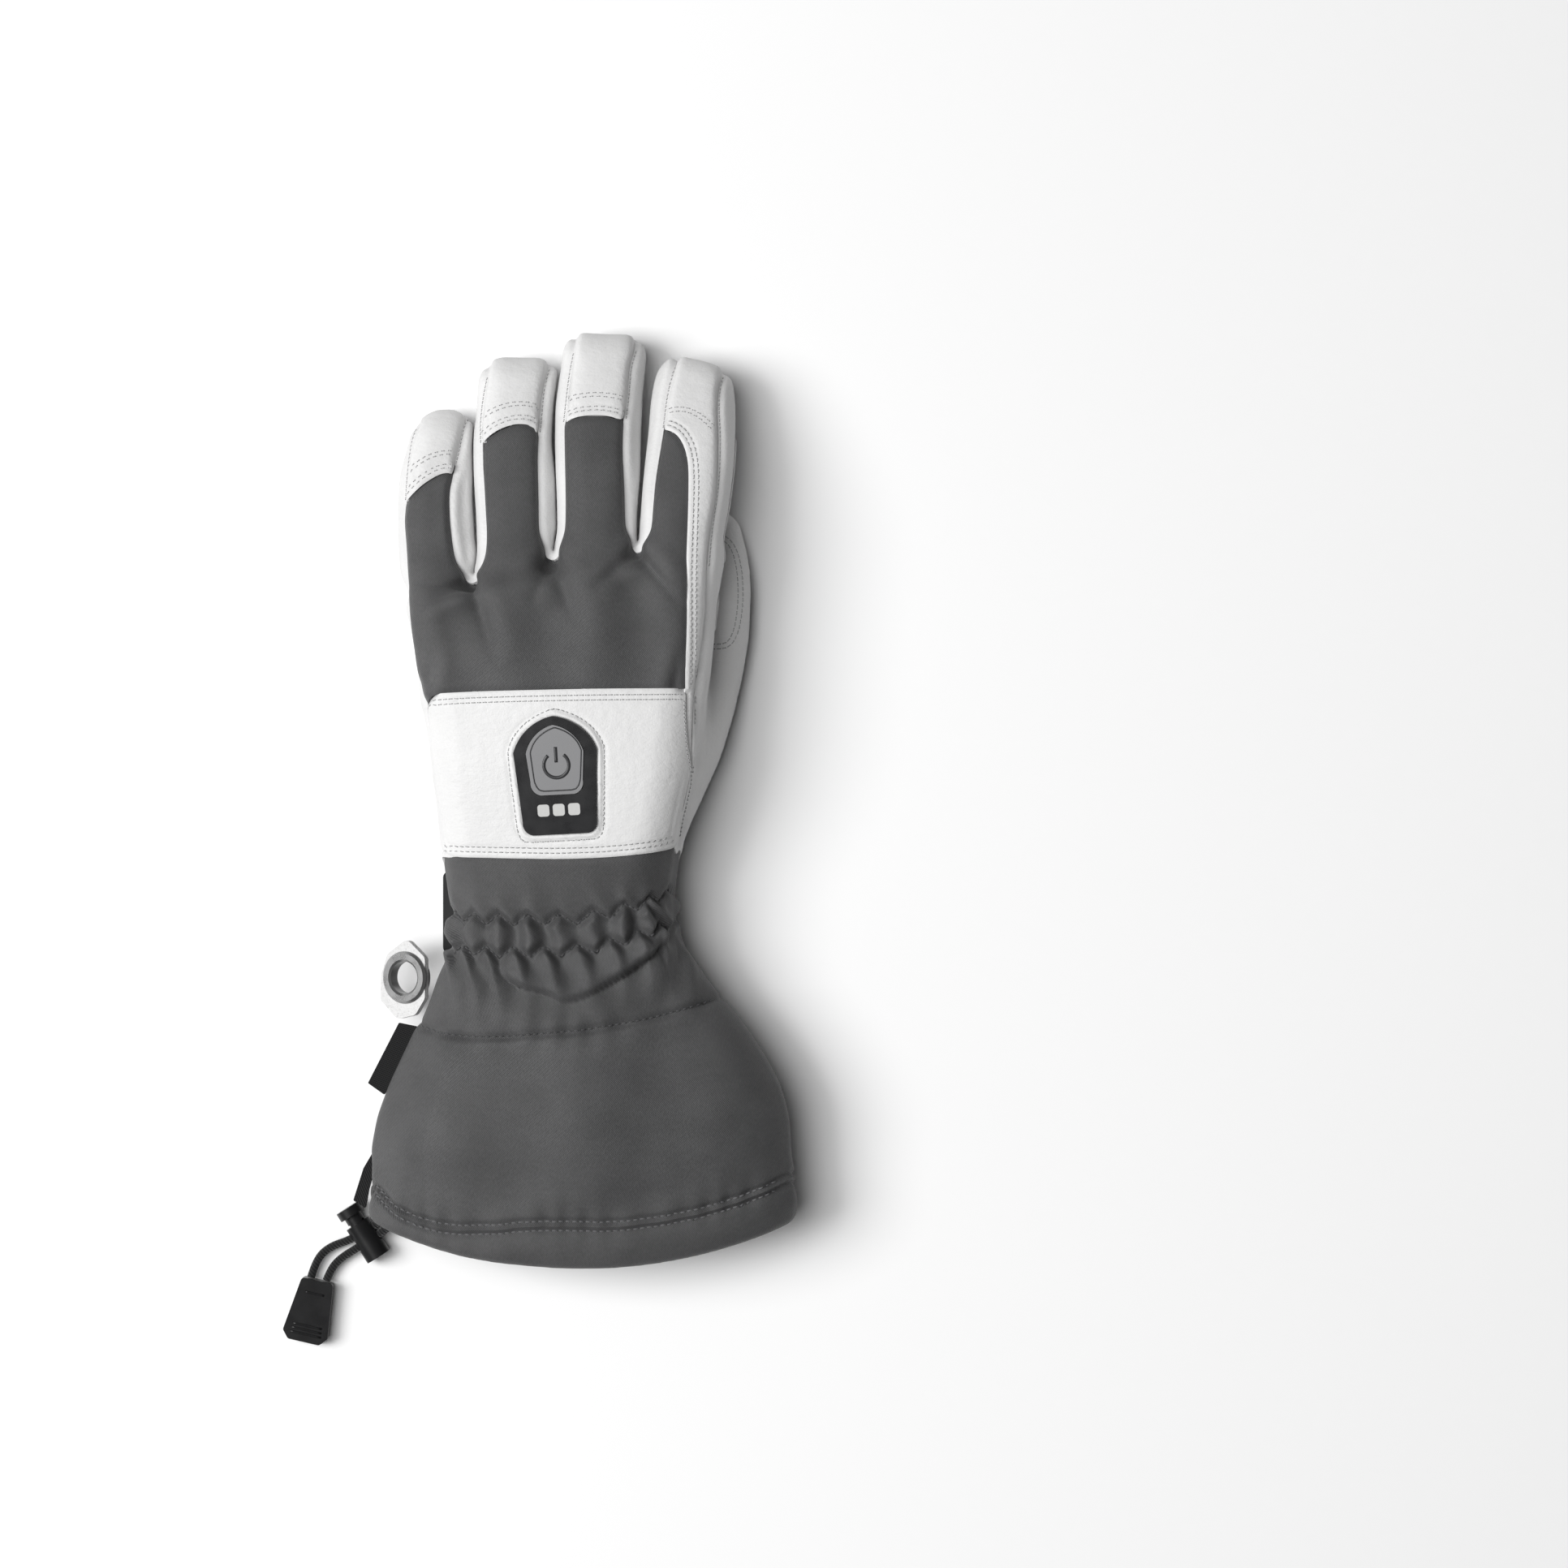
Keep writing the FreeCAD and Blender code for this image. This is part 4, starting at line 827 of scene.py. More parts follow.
def make_object(name, vertices, faces, material, normals=None):
    """Smooth mesh object from millimetres."""
    mesh = bpy.data.meshes.new(name)
    mesh.from_pydata((np.asarray(vertices, float) * MM).tolist(), [], [list(map(int, f)) for f in faces])
    mesh.materials.append(material)
    mesh.shade_smooth()
    if normals is not None:
        mesh.normals_split_custom_set_from_vertices(normals.tolist())
    return added(name, mesh)


def rim(positions, normals, triangles, skip, depth=1.5):
    """Edge faces that close a panel's border down into the seam; returns vertices, normals and faces."""
    edges = np.vstack([triangles[:, [0, 1]], triangles[:, [1, 2]], triangles[:, [2, 0]]])
    keys = np.sort(edges, 1)
    _, first, counts = np.unique(keys, axis=0, return_index=True, return_counts=True)
    border = edges[first[counts == 1]]
    border = border[~(skip[border[:, 0]] & skip[border[:, 1]])]
    if not len(border):
        return np.zeros((0, 3)), np.zeros((0, 3)), np.zeros((0, 3), int)
    used, local = np.unique(border, return_inverse=True)
    local = local.reshape(border.shape)
    top = positions[used]
    up = normals[used]
    out = np.zeros_like(top)
    away = np.cross(positions[border[:, 1]] - positions[border[:, 0]], up[local[:, 0]])
    for i in range(2):
        for axis in range(3):
            out[:, axis] += np.bincount(local[:, i], away[:, axis], len(used))
    out = unit(out)
    corner = unit(out + 0.8 * up)
    middle = top + 0.12 * out - 0.25 * up
    low = top + 0.05 * out - depth * up
    n = len(used)
    i, j = local[:, 0], local[:, 1]
    faces = []
    for upper, lower in ((0, n), (n, 2 * n)):
        faces.append(np.stack([j + upper, i + upper, i + lower], 1))
        faces.append(np.stack([j + upper, i + lower, j + lower], 1))
    return np.vstack([top, middle, low]), np.vstack([corner, out, out]), np.vstack(faces)


def build_shell(materials):
    """Every soft panel as its own object: {(panel, body): object}, and the surfaces that stitches lie on."""
    vertices, triangles = field_mesh()
    data = shell_data(vertices, triangles)
    for name in COLUMNS[AT["fabric"]:AT["finger"]]:
        if name == "hem":
            data[:, AT["hem"]] += HEM_ROW_PITCH / 2
        data, triangles = split_along(data, triangles, name)
    data[:, AT["hem"]] -= HEM_ROW_PITCH / 2
    label = panel_labels(data, triangles)
    body = body_labels(data, triangles)
    pieces = {}
    surfaces = {"hand": [], "thumb": []}
    for panel, name in enumerate(PANELS):
        chosen = label == panel
        used, local = np.unique(triangles[chosen], return_inverse=True)
        local = local.reshape(-1, 3)
        rows = data[used]
        up = rows[:, 3:6]
        positions = rows[:, :3] + up * panel_relief(name, rows)[:, None]
        positions[:, 2] = np.maximum(positions[:, 2], TABLE_GAP)
        normals = vertex_normals(positions, local)
        split = (np.abs(rows[:, AT["finger_split"]]) < 1e-3) | (np.abs(rows[:, AT["thumb_split"]]) < 1e-3)
        for number, body_name in enumerate(BODIES):
            own = local[body[chosen] == number]
            if len(own) < FEWEST_FACES:
                continue
            seen, index = np.unique(own, return_inverse=True)
            own = index.reshape(-1, 3)
            rim_points, rim_normals, rim_faces = rim(positions[seen], normals[seen], own, split[seen])
            all_points = np.vstack([positions[seen], rim_points])
            all_normals = np.vstack([normals[seen], rim_normals])
            faces = np.vstack([own, rim_faces + len(seen)])
            obj = make_object(f"soft_{name}_{body_name}", all_points, faces, materials[name], all_normals)
            if name in WOVEN:
                places = cloth_places(all_points, name in ("gusset", "cuff", "hem"))
                layer = obj.data.attributes.new("cloth", "FLOAT_VECTOR", "POINT")
                layer.data.foreach_set("vector", places.astype(np.float32).ravel())
            pieces[(name, body_name)] = obj
            surfaces["thumb" if body_name == "thumb" else "hand"].append((positions[seen], own))
    trees = {}
    for key, parts in surfaces.items():
        starts = np.cumsum([0] + [len(points) for points, _ in parts])
        polygons = np.vstack([own + start for (_, own), start in zip(parts, starts)])
        trees[key] = BVHTree.FromPolygons(np.vstack([points for points, _ in parts]).tolist(), polygons.tolist())
    return pieces, trees


# ---------------------------------------------------------------- stitches
def beside(line, offset):
    """A line moved sideways, to its left for a positive offset."""
    line = np.asarray(line, float)
    along = unit(np.gradient(line, axis=0))
    return line + offset * np.stack([-along[:, 1], along[:, 0]], 1)


STITCH_SIDES = 6
THREAD_LIFT, HOLE_SHADE_LIFT = 0.12, 0.03          # heights over the shell of a thread's middle and of the middle of a needle hole's dark disc of painted shade
RAY_TOP, RAY_FOOT = 90.0, -30.0              # rays to the shell start above and below it
STEEPEST = 0.12                              # least upward share of a normal where a stitch can lie


def thread_template(sides=STITCH_SIDES):
    """A thread's short visible stretch, one unit long and of unit radius."""
    stations = ((-0.5, 0.35, -0.9), (-0.4, 0.85, -0.25), (-0.15, 1.0, 0.1), (0.15, 1.0, 0.1), (0.4, 0.85, -0.25),
                (0.5, 0.35, -0.9))
    angles = np.arange(sides) * 2 * math.pi / sides
    points = [(along, size * math.cos(a), size * math.sin(a) + lift)
              for along, size, lift in stations for a in angles]
    faces = []
    for ring in range(len(stations) - 1):
        for k in range(sides):
            a = ring * sides + k
            b = ring * sides + (k + 1) % sides
            faces += [(a, a + sides, b + sides), (a, b + sides, b)]
    return np.array(points), np.array(faces)


def hole_shade_template(sides=STITCH_SIDES):
    """Painted shade of a needle hole: a small flat dark cushion."""
    angles = np.arange(sides) * 2 * math.pi / sides
    points = [(0.0, 0.0, 0.35)] + [(math.cos(a), math.sin(a), -0.1) for a in angles]
    faces = [(0, 1 + k, 1 + (k + 1) % sides) for k in range(sides)]
    return np.array(points), np.array(faces)


class Sewing:
    """Collects stitches on the shell, one object for each body and thread."""

    def __init__(self, trees):
        self.trees = trees
        self.threads = {}

    def surface(self, place, side):
        """The point of the shell over or under a place, with its normal, unless the shell is too steep there."""
        down = side != "palm"
        start = Vector((place[0], place[1], RAY_TOP if down else RAY_FOOT))
        tree = self.trees["thumb" if side.startswith("thumb") else "hand"]
        hit, normal, _, _ = tree.ray_cast(start, Vector((0, 0, -1.0 if down else 1.0)))
        if hit is None:
            return None
        normal = np.array(normal)
        if (normal[2] < 0) == down:
            normal = -normal
        if abs(normal[2]) < STEEPEST:
            return None
        return np.array(hit), normal

    def body(self, place, side):
        """The body that a stitch is grouped under."""
        if side.startswith("thumb"):
            return "thumb" if place[1] > THUMB_SPLIT_Y else "hand"
        finger = int(finger_of(np.array(place[0]), np.array(place[1])))
        name, shape = list(FINGERS.items())[finger]
        return f"{name}_finger" if place[1] > shape["split"] else "hand"

    def row(self, line, side, thread, length=1.3, pitch=2.1, radius=0.22, hole=0.2, rounding=True, closed=False,
            within=None):
        """Stitches along a line in the plan, each with a dark disc of painted shade for its needle hole behind it;
        within keeps them in an outline.
        """
        points = rounded(line, closed=closed, spacing=pitch) if rounding else resampled(np.array(line, float), pitch)
        ends = np.roll(points, -1, 0) if closed else points[1:]
        if within is not None:
            middle = (points[:len(ends)] + ends) / 2
            kept = outline_field(middle[:, 0], middle[:, 1], rounded(within)) < -0.9
            points, ends = points[:len(ends)][kept], ends[kept]
        for a, b in zip(points, ends):
            centre = (a + b) / 2
            found = self.surface(centre, side)
            if found is None:
                continue
            spot, up = found
            step = np.append(b - a, 0.0)
            along = step - up * (step @ up)
            along /= max(np.linalg.norm(along), 1e-9)
            across = np.cross(up, along)
            body = self.body(centre, side)
            self.threads.setdefault((body, thread), []).append(
                (spot + THREAD_LIFT * up, along * length, across * radius, up * radius))
            # the dark disc behind each stitch is painted shade in its needle hole
            self.threads.setdefault((body, "hole"), []).append(
                (spot + HOLE_SHADE_LIFT * up - along * (length * 0.5 + 0.2), along * hole, across * hole, up * hole))

    def objects(self, materials):
        """One object for each body and thread: {(body, thread): object}."""
        made = {}
        for (body, thread), stitches in self.threads.items():
            points, faces = hole_shade_template() if thread == "hole" else thread_template()
            frames = np.array(stitches)
            placed = frames[:, 0][:, None] + np.einsum("pk,skj->spj", points, frames[:, 1:])
            count = len(points)
            every = (faces[None] + (np.arange(len(frames)) * count)[:, None, None]).reshape(-1, 3)
            name = f"stitches_{thread}_{body}"
            made[(body, thread)] = make_object(name, placed.reshape(-1, 3), every, materials[thread])
        return made


def zigzag_row(row, direction, left=-46.0, right=35.6):
    """One zigzag row of the gathers, from its mean line."""
    order = np.arange(len(GATHER_CRESTS), dtype=float)
    halves = np.arange(0.0, len(GATHER_CRESTS) - 0.5, 0.5)
    xs = np.interp(halves, order, GATHER_CRESTS)
    reach = np.where(halves % 1 == 0, 1.0, -1.0) * GATHER_REACH * direction
    ys = eased(xs, row) + reach
    keep = (xs > left) & (xs < right)
    return np.stack([xs, ys], 1)[keep]


def sew(sewing):
    """All visible rows of stitches."""
    band_top = ((-53.6, 38.4), (-35, 39.4), (5.4, 40.2), (41, 40.4))
    band_foot = ((38, -17.4), *BAND_FOOT_Y[4:0:-1], (-48.2, -21))
    for offset in (2.1, 3.9):
        for line in (band_top, band_foot):
            sewing.row(beside(line, -offset), "back", "grey_thread")
    sewing.row(badge_line(2.5), "back", "grey_thread", length=1.2, pitch=1.9, closed=True)
    little, ring, middle = CAPS.values()
    cap_edges = (((-62, 109.4), *little[1:5], (-45.2, 120.4)), ((-34, 131.4), *ring[1:6], (-13.2, 135.2)),
                 ((-3.4, 138.8), *middle[1:4], (18.8, 139.6)))
    for edge, cap in zip(cap_edges, CAPS.values()):
        for offset in (2.0, 3.4, 7.2, 8.6):
            sewing.row(beside(edge, offset), "back", "grey_thread", length=0.9, pitch=2.5, within=cap)
    dorsal = ((41.9, 42), (41.9, 60), *INDEX_DORSAL[3:10], (33.8, 136))
    for offset in (1.9, 3.6):
        sewing.row(beside(dorsal, -offset), "back", "grey_thread")
    ridge = ((35, 144), (39, 144.8), (44, 143.8), (48.6, 140.8), (52.4, 137))
    for offset in (0.0, 1.6):
        sewing.row(beside(ridge, -offset), "back", "grey_thread", length=1.0, pitch=2.3, within=INDEX_DORSAL)
    turned = (
        INDEX_DORSAL[23:15:-1], ((33.2, 137), *INDEX_DORSAL[11:13], (37.8, 162)),
        ((19.4, 140.6), *middle[5:7], (22.8, 167)), ((-3.7, 139.6), *middle[12:10:-1], (-0.4, 166)),
        ((-12.6, 136), *ring[7:9], (-9.6, 160.5)), ((-34.6, 132), (-35, 140.1), (-34.1, 149.9), (-32.6, 157.3)),
        ((-44.6, 121.4), *little[6:8], (-40.6, 142.4)), ((-62.6, 111), (-62, 123), (-61.1, 133), (-59.4, 138.4)),
        ((41.3, 36), *INDEX_DORSAL[30:27:-1], *BAND[7:9], (39.2, -14)), (*INDEX_DORSAL[26:28], (44.1, 9.4)),
    )
    for line in turned:
        sewing.row(line, "back", "dark_thread", length=0.8, pitch=1.5, radius=0.2)
    patch_edge = ((-36.6, -27), (-39, -13), *PALM_PATCH[2:13], (46, 79.6))
    for offset in (2.6, 4.4):
        sewing.row(beside(patch_edge, -offset), "palm", "grey_thread", length=1.2, pitch=2.3)
        sewing.row(beside(INDEX_PATCH[1:-1], -offset * 0.8), "palm", "grey_thread", length=1.1, pitch=2.0)
    for line in (LITTLE_SIDE_SEAM, INDEX_OUTER_SEAM) + FINGER_LOOPS:
        sewing.row(line, "palm", "dark_thread", length=0.8, pitch=1.7, radius=0.2)
    thumb_oval = ((52, 99.6), (57.6, 97.4), (60.6, 92), (62.2, 84), (62.4, 73.5), (61.2, 64), (59, 58.4), (55.8, 56),
                  (50, 56))
    for offset in (0.0, -1.8):
        sewing.row(beside(thumb_oval, offset), "thumb_back", "grey_thread", length=1.2, pitch=2.1)
    for row, direction in ((GATHER_ROW_1, 1), (GATHER_ROW_2, -1)):
        sewing.row(zigzag_row(row, direction), "back", "cloth_thread", length=1.7, pitch=2.2, radius=0.3, hole=0.42,
                   rounding=False)
    for points, side in ((CUFF_SEAM_BACK, "back"), (CUFF_SEAM_PALM, "palm")):
        sewing.row(points[1:-1], side, "cloth_thread", length=1.9, pitch=2.5, radius=0.3, hole=0.42)
    for points, side in ((HEM_ROW_BACK, "back"), (HEM_ROW_PALM, "palm")):
        for offset in (0.0, HEM_ROW_PITCH):
            line = np.array(points[1:-1]) - [0.0, offset]
            sewing.row(line, side, "light_thread", length=1.9, pitch=2.5, radius=0.32, hole=0.45)
    wavy = [(x, SCALLOP_Y - 1.3 + scallops(x)) for x in range(-42, 30, 2)]
    sewing.row(wavy, "palm", "light_thread", length=1.2, pitch=1.9, radius=0.25, hole=0.3)


# ---------------------------------------------------------------- materials
class Nodes:
    """Small helper to wire a material's nodes; every place and length in it is in millimetres."""

    def __init__(self, name):
        self.material = bpy.data.materials.new(name)
        self.material.use_nodes = True
        self.tree = self.material.node_tree
        self.tree.nodes.clear()
        self.shader = self.add("BsdfPrincipled")
        self.put(self.shader.outputs["BSDF"], self.add("OutputMaterial").inputs["Surface"])
        self.place = self.vector_math("SCALE", self.add("TexCoord").outputs["Object"], Scale=1 / MM).outputs[0]
        self.height = None

    def put(self, value, socket):
        """Links a socket, or sets a constant; a colour may have three numbers."""
        if isinstance(value, bpy.types.NodeSocket):
            self.tree.links.new(value, socket)
        else:
            socket.default_value = (*value, 1.0) if socket.type == "RGBA" else value

    def add(self, kind, **inputs):
        """A new node with some of its inputs filled."""
        node = self.tree.nodes.new("ShaderNode" + kind)
        for name, value in inputs.items():
            self.put(value, node.inputs[name])
        return node

    def fill(self, node, values):
        """Fills a node's first inputs in order."""
        for value, socket in zip(values, node.inputs):
            self.put(value, socket)
        return node

    def math(self, operation, *values):
        node = self.add("Math")
        node.operation = operation
        return self.fill(node, values).outputs[0]

    def vector_math(self, operation, *values, **inputs):
        node = self.add("VectorMath")
        node.operation = operation
        for name, value in inputs.items():
            self.put(value, node.inputs[name])
        return self.fill(node, values)

    def cloth(self):
        """Place on the flat cloth, in millimetres."""
        node = self.add("Attribute")
        node.attribute_name = "cloth"
        return node.outputs["Vector"]

    def plane_wave(self, direction, period, shift=0.0, place=None):
        """Sine of the distance along a direction."""
        scaled = [2 * math.pi / period * v for v in direction]
        node = self.vector_math("DOT_PRODUCT", self.place if place is None else place, scaled)
        return self.math("SINE", self.math("ADD", node.outputs["Value"], shift))

    def noise(self, size, detail=2.0, stretch=None):
        place = self.vector_math("MULTIPLY", self.place, stretch).outputs[0] if stretch else self.place
        return self.add("TexNoise", Scale=1 / size, Detail=detail, Vector=place).outputs["Fac"]

    def streaks(self, direction, width, length):
        """Noise drawn out along the lines of a plane wave on the flat cloth."""
        node = self.add("Mapping", Vector=self.cloth(), Rotation=(0.0, 0.0, -math.atan2(direction[1], direction[0])),
                        Scale=(1 / width, 1 / length, 1.0))
        return self.add("TexNoise", Scale=1.0, Vector=node.outputs["Vector"]).outputs["Fac"]

    def cells(self, size):
        return self.add("TexVoronoi", Scale=1 / size, Vector=self.place).outputs["Distance"]

    def blend(self, factor, low, high):
        """Colour between two, by a factor from 0 to 1."""
        node = self.add("Mix")
        node.data_type = "RGBA"
        for value, number in ((factor, 0), (low, 6), (high, 7)):
            self.put(value, node.inputs[number])
        return node.outputs[2]

    def range(self, value, low, high, to_low=0.0, to_high=1.0):
        return self.fill(self.add("MapRange"), (value, low, high, to_low, to_high)).outputs[0]

    def raised(self, value, depth):
        """Adds value x depth in millimetres to the surface's fine relief."""
        part = self.math("MULTIPLY", value, depth)
        self.height = part if self.height is None else self.math("ADD", self.height, part)

    def finish(self, colour, roughness, **constants):
        """The material, with its colour, roughness and fine relief and the shader's other constants."""
        constants.update(Base_Color=colour, Roughness=roughness)
        for name, value in constants.items():
            self.put(value, self.shader.inputs[name.replace("_", " ")])
        if self.height is not None:
            relief = self.add("Bump", Distance=MM, Height=self.height)
            self.put(relief.outputs["Normal"], self.shader.inputs["Normal"])
        return self.material


BLACK = (0.0, 0.0, 0.0)


def times(tone, factor):
    return tuple(factor * c for c in tone)


def twill(name, tone, direction=(0.766, 0.643, 0.0)):
    """Softshell: fine diagonal ribs with short floats across them, fibres and slight streaks."""
    n = Nodes(name)
    across = (-direction[1], direction[0], 0.0)
    cloth = n.cloth()
    diagonal = n.plane_wave(direction, 0.56, place=cloth)
    floats = n.plane_wave(across, 0.95, shift=0.6, place=cloth)
    weave = n.math("MULTIPLY_ADD", n.math("MULTIPLY", diagonal, floats), 0.3, n.math("MULTIPLY", diagonal, 0.7))
    uneven = n.noise(14.0, 3.0)
    fibre = n.noise(0.35, 2.0)
    n.raised(weave, 0.05)
    n.raised(fibre, 0.05)
    light = n.range(weave, -1.0, 1.0, 0.62, 1.38)
    light = n.math("MULTIPLY", light, n.range(uneven, 0.3, 0.7, 0.9, 1.1))
    light = n.math("MULTIPLY", light, n.range(fibre, 0.3, 0.7, 0.86, 1.14))
    light = n.math("MULTIPLY", light, n.range(n.streaks(direction, 0.6, 1.5), 0.3, 0.7, 0.86, 1.14))
    return n.finish(n.blend(n.math("MULTIPLY", light, 0.5), times(tone, 0.02), times(tone, 2)), 0.58,
                    Sheen_Weight=0.05, Sheen_Roughness=0.5, Specular_IOR_Level=0.5)


def leather(name, grain=0.05, roughness=0.47):
    """White leather: pebbled cells, fine grain, creases and soft unevenness."""
    n = Nodes(name)
    cells = n.cells(0.9)
    fine = n.noise(0.45, 3.0)
    soft = n.noise(5.0, 3.0)
    creases = n.noise(2.2, 2.0, stretch=(0.7, 1.6, 1.0))
    wide = n.noise(26.0, 2.0)
    n.raised(n.math("MINIMUM", cells, 0.5), grain * 1.4)
    n.raised(fine, grain * 1.2)
    n.raised(creases, 0.16)
    n.raised(soft, 0.3)
    # The colour is a little darker in the hollows of the pebbled cells and the fine grain, which is painted shade,
    # and it also varies at random over wide patches.
    shade = n.math("MULTIPLY", n.range(cells, 0.0, 0.45, 0.96, 1.0), n.range(fine, 0.3, 0.7, 0.985, 1.015))
    shade = n.math("MULTIPLY", shade, n.range(wide, 0.35, 0.65, 0.965, 1.02))
    return n.finish(n.blend(shade, BLACK, LEATHER_TONE),
                    n.range(fine, 0.3, 0.7, roughness - 0.06, roughness + 0.08), Specular_IOR_Level=0.38)


def plain(name, tone, roughness, metallic=0.0, grain=0.0, size=0.6, **constants):
    """Moulded or metal surface, with wear in its roughness and a moulded grain."""
    n = Nodes(name)
    if grain:
        n.raised(n.noise(size, 3.0), grain)
    worn = n.range(n.noise(6.0, 3.0), 0.35, 0.65, roughness - 0.04, roughness + 0.05)
    return n.finish(tone, worn, Metallic=metallic, **constants)


def webbing(name, tone, rib=1.9, axis=(1.0, 0.0, 0.0)):
    """Woven tape or braid, ribbed across axis."""
    n = Nodes(name)
    ribs = n.plane_wave(axis, rib)
    cross = n.plane_wave((axis[1], axis[0], 0.3), 0.7)
    fibre = n.noise(0.3, 2.0)
    n.raised(ribs, 0.14)
    n.raised(n.math("MULTIPLY", ribs, cross), 0.05)
    n.raised(fibre, 0.05)
    light = n.math("MULTIPLY", n.range(ribs, -1.0, 1.0, 0.3, 0.62), n.range(fibre, 0.3, 0.7, 0.85, 1.15))
    return n.finish(n.blend(light, BLACK, times(tone, 2)), 0.8,
                    Sheen_Weight=0.2, Sheen_Roughness=0.5, Specular_IOR_Level=0.3)


def fleece(name, tone):
    """Knitted pile."""
    n = Nodes(name)
    pile = n.noise(0.9, 4.0)
    n.raised(pile, 0.5)
    n.raised(n.noise(5.0, 2.0), 1.2)
    shade = n.range(pile, 0.3, 0.7, 0.35, 0.65)
    return n.finish(n.blend(shade, BLACK, times(tone, 2)), 0.95,
                    Sheen_Weight=0.3, Sheen_Roughness=0.6, Specular_IOR_Level=0.15)


FABRIC_TONE = (0.063, 0.063, 0.064)
LEATHER_TONE = (0.68, 0.678, 0.676)
WEB_BLACK = (0.014, 0.014, 0.0145)
softshell = twill("softshell", FABRIC_TONE)
cuff_cloth = twill("softshell_cuff", tuple(c * 1.04 for c in FABRIC_TONE))
pile = fleece("lining_pile", (0.035, 0.035, 0.038))
MATERIALS = dict.fromkeys(PANELS, leather("white_leather"))
MATERIALS.update(
    fabric=softshell, thumb_fabric=softshell, cuff=cuff_cloth, hem=cuff_cloth, lining=pile,
    gusset=twill("softshell_gusset", tuple(c * 0.98 for c in FABRIC_TONE), direction=(0.5, 0.866, 0.0)),
    # the needle holes' dark discs are painted shade
    hole=plain("needle_hole_shade", (0.05, 0.05, 0.05), 0.9))
for thread, name, tone in (("grey_thread", "grey_thread", (0.4, 0.4, 0.4)),
                           ("dark_thread", "seam_thread", (0.4, 0.4, 0.4)),
                           ("cloth_thread", "cloth_thread", (0.07, 0.07, 0.072)),
                           ("light_thread", "light_thread", (0.12, 0.12, 0.124))):
    MATERIALS[thread] = plain(name, tone, 0.6, grain=0.05, size=0.25)
gloss_black = plain("gloss_black", (0.012, 0.012, 0.013), 0.3, Specular_IOR_Level=0.4)
matte_black = plain("matte_black", (0.009, 0.009, 0.0095), 0.36, grain=0.02, size=0.5, Specular_IOR_Level=0.45)
mark_dark = plain("button_mark", (0.03, 0.03, 0.032), 0.4)
gunmetal = plain("gunmetal", (0.3, 0.3, 0.3), 0.3, metallic=0.85)
strap_web = webbing("strap_webbing", WEB_BLACK)

# ---------------------------------------------------------------- the soft shell
shell_pieces, sewing_trees = build_shell(MATERIALS)
sewing = Sewing(sewing_trees)
sew(sewing)
thread_pieces = sewing.objects(MATERIALS)

SHELL_SLOTS = {**dict.fromkeys(WOVEN, "softshell_fabric"), "lining": "lining_fleece"}


def follow(obj, body):
    """A hand piece moves with the hand's body; a finger's or the thumb's piece keeps its place, with its transform
    baked into its mesh.
    """
    if body == "hand":
        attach(obj, "hand")
    elif body == "thumb":
        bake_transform(obj)
    else:
        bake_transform(obj)


for (panel_name, body_name), piece in shell_pieces.items():
    follow(piece, body_name)
for (body_name, _), piece in thread_pieces.items():
    follow(piece, body_name)

STANDS_FOR = {
    ("fabric", "hand"): ("back_panel",),
    ("band", "hand"): ("knuckle_band",),
    ("index_dorsal", "hand"): ("index_side_strip",),
    ("leather", "hand"): ("palm_panel", "hand_insulation", "hand_heater"),
    ("patch", "hand"): ("palm_patch",),
    ("lining", "hand"): ("body_lining",),
    ("gusset", "hand"): ("wrist_gusset", "gather_elastics"),
    ("cuff", "hand"): ("cuff_shell",),
    ("hem", "hand"): ("cuff_hem", "hem_drawcord"),
    ("thumb_fabric", "thumb"): ("thumb_fabric",),
    ("leather", "thumb"): ("thumb_leather", "thumb_liner", "thumb_heater"),
    ("index_dorsal", "index_finger"): ("index_tip_cap",),
}
for finger in FINGERS:
    STANDS_FOR[("fabric", f"{finger}_finger")] = (f"{finger}_back",)
    STANDS_FOR[("leather", f"{finger}_finger")] = (f"{finger}_palm", f"{finger}_liner", f"{finger}_heater")
    if finger != "index":
        STANDS_FOR[(f"{finger}_cap", f"{finger}_finger")] = (f"{finger}_tip_cap",)
for key, nodes in STANDS_FOR.items():
    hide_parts(*nodes)


# ---------------------------------------------------------------- fittings
def finish_node(name, material, slot, edge_width):
    """A hard CAD part shown as it is, with its finish and, unless edge_width is 0, its edges rounded."""
    node = frame["nodes"][name]
    node.data.materials.clear()
    node.data.materials.append(material)
    node.data.shade_smooth()
    node.data.set_sharp_from_angle(angle=math.radians(35))
    if edge_width:
        edge = node.modifiers.new("worn_edge", "BEVEL")
        edge.width = edge_width * MM
        edge.segments = 3
        edge.limit_method = "ANGLE"
        edge.angle_limit = math.radians(40)


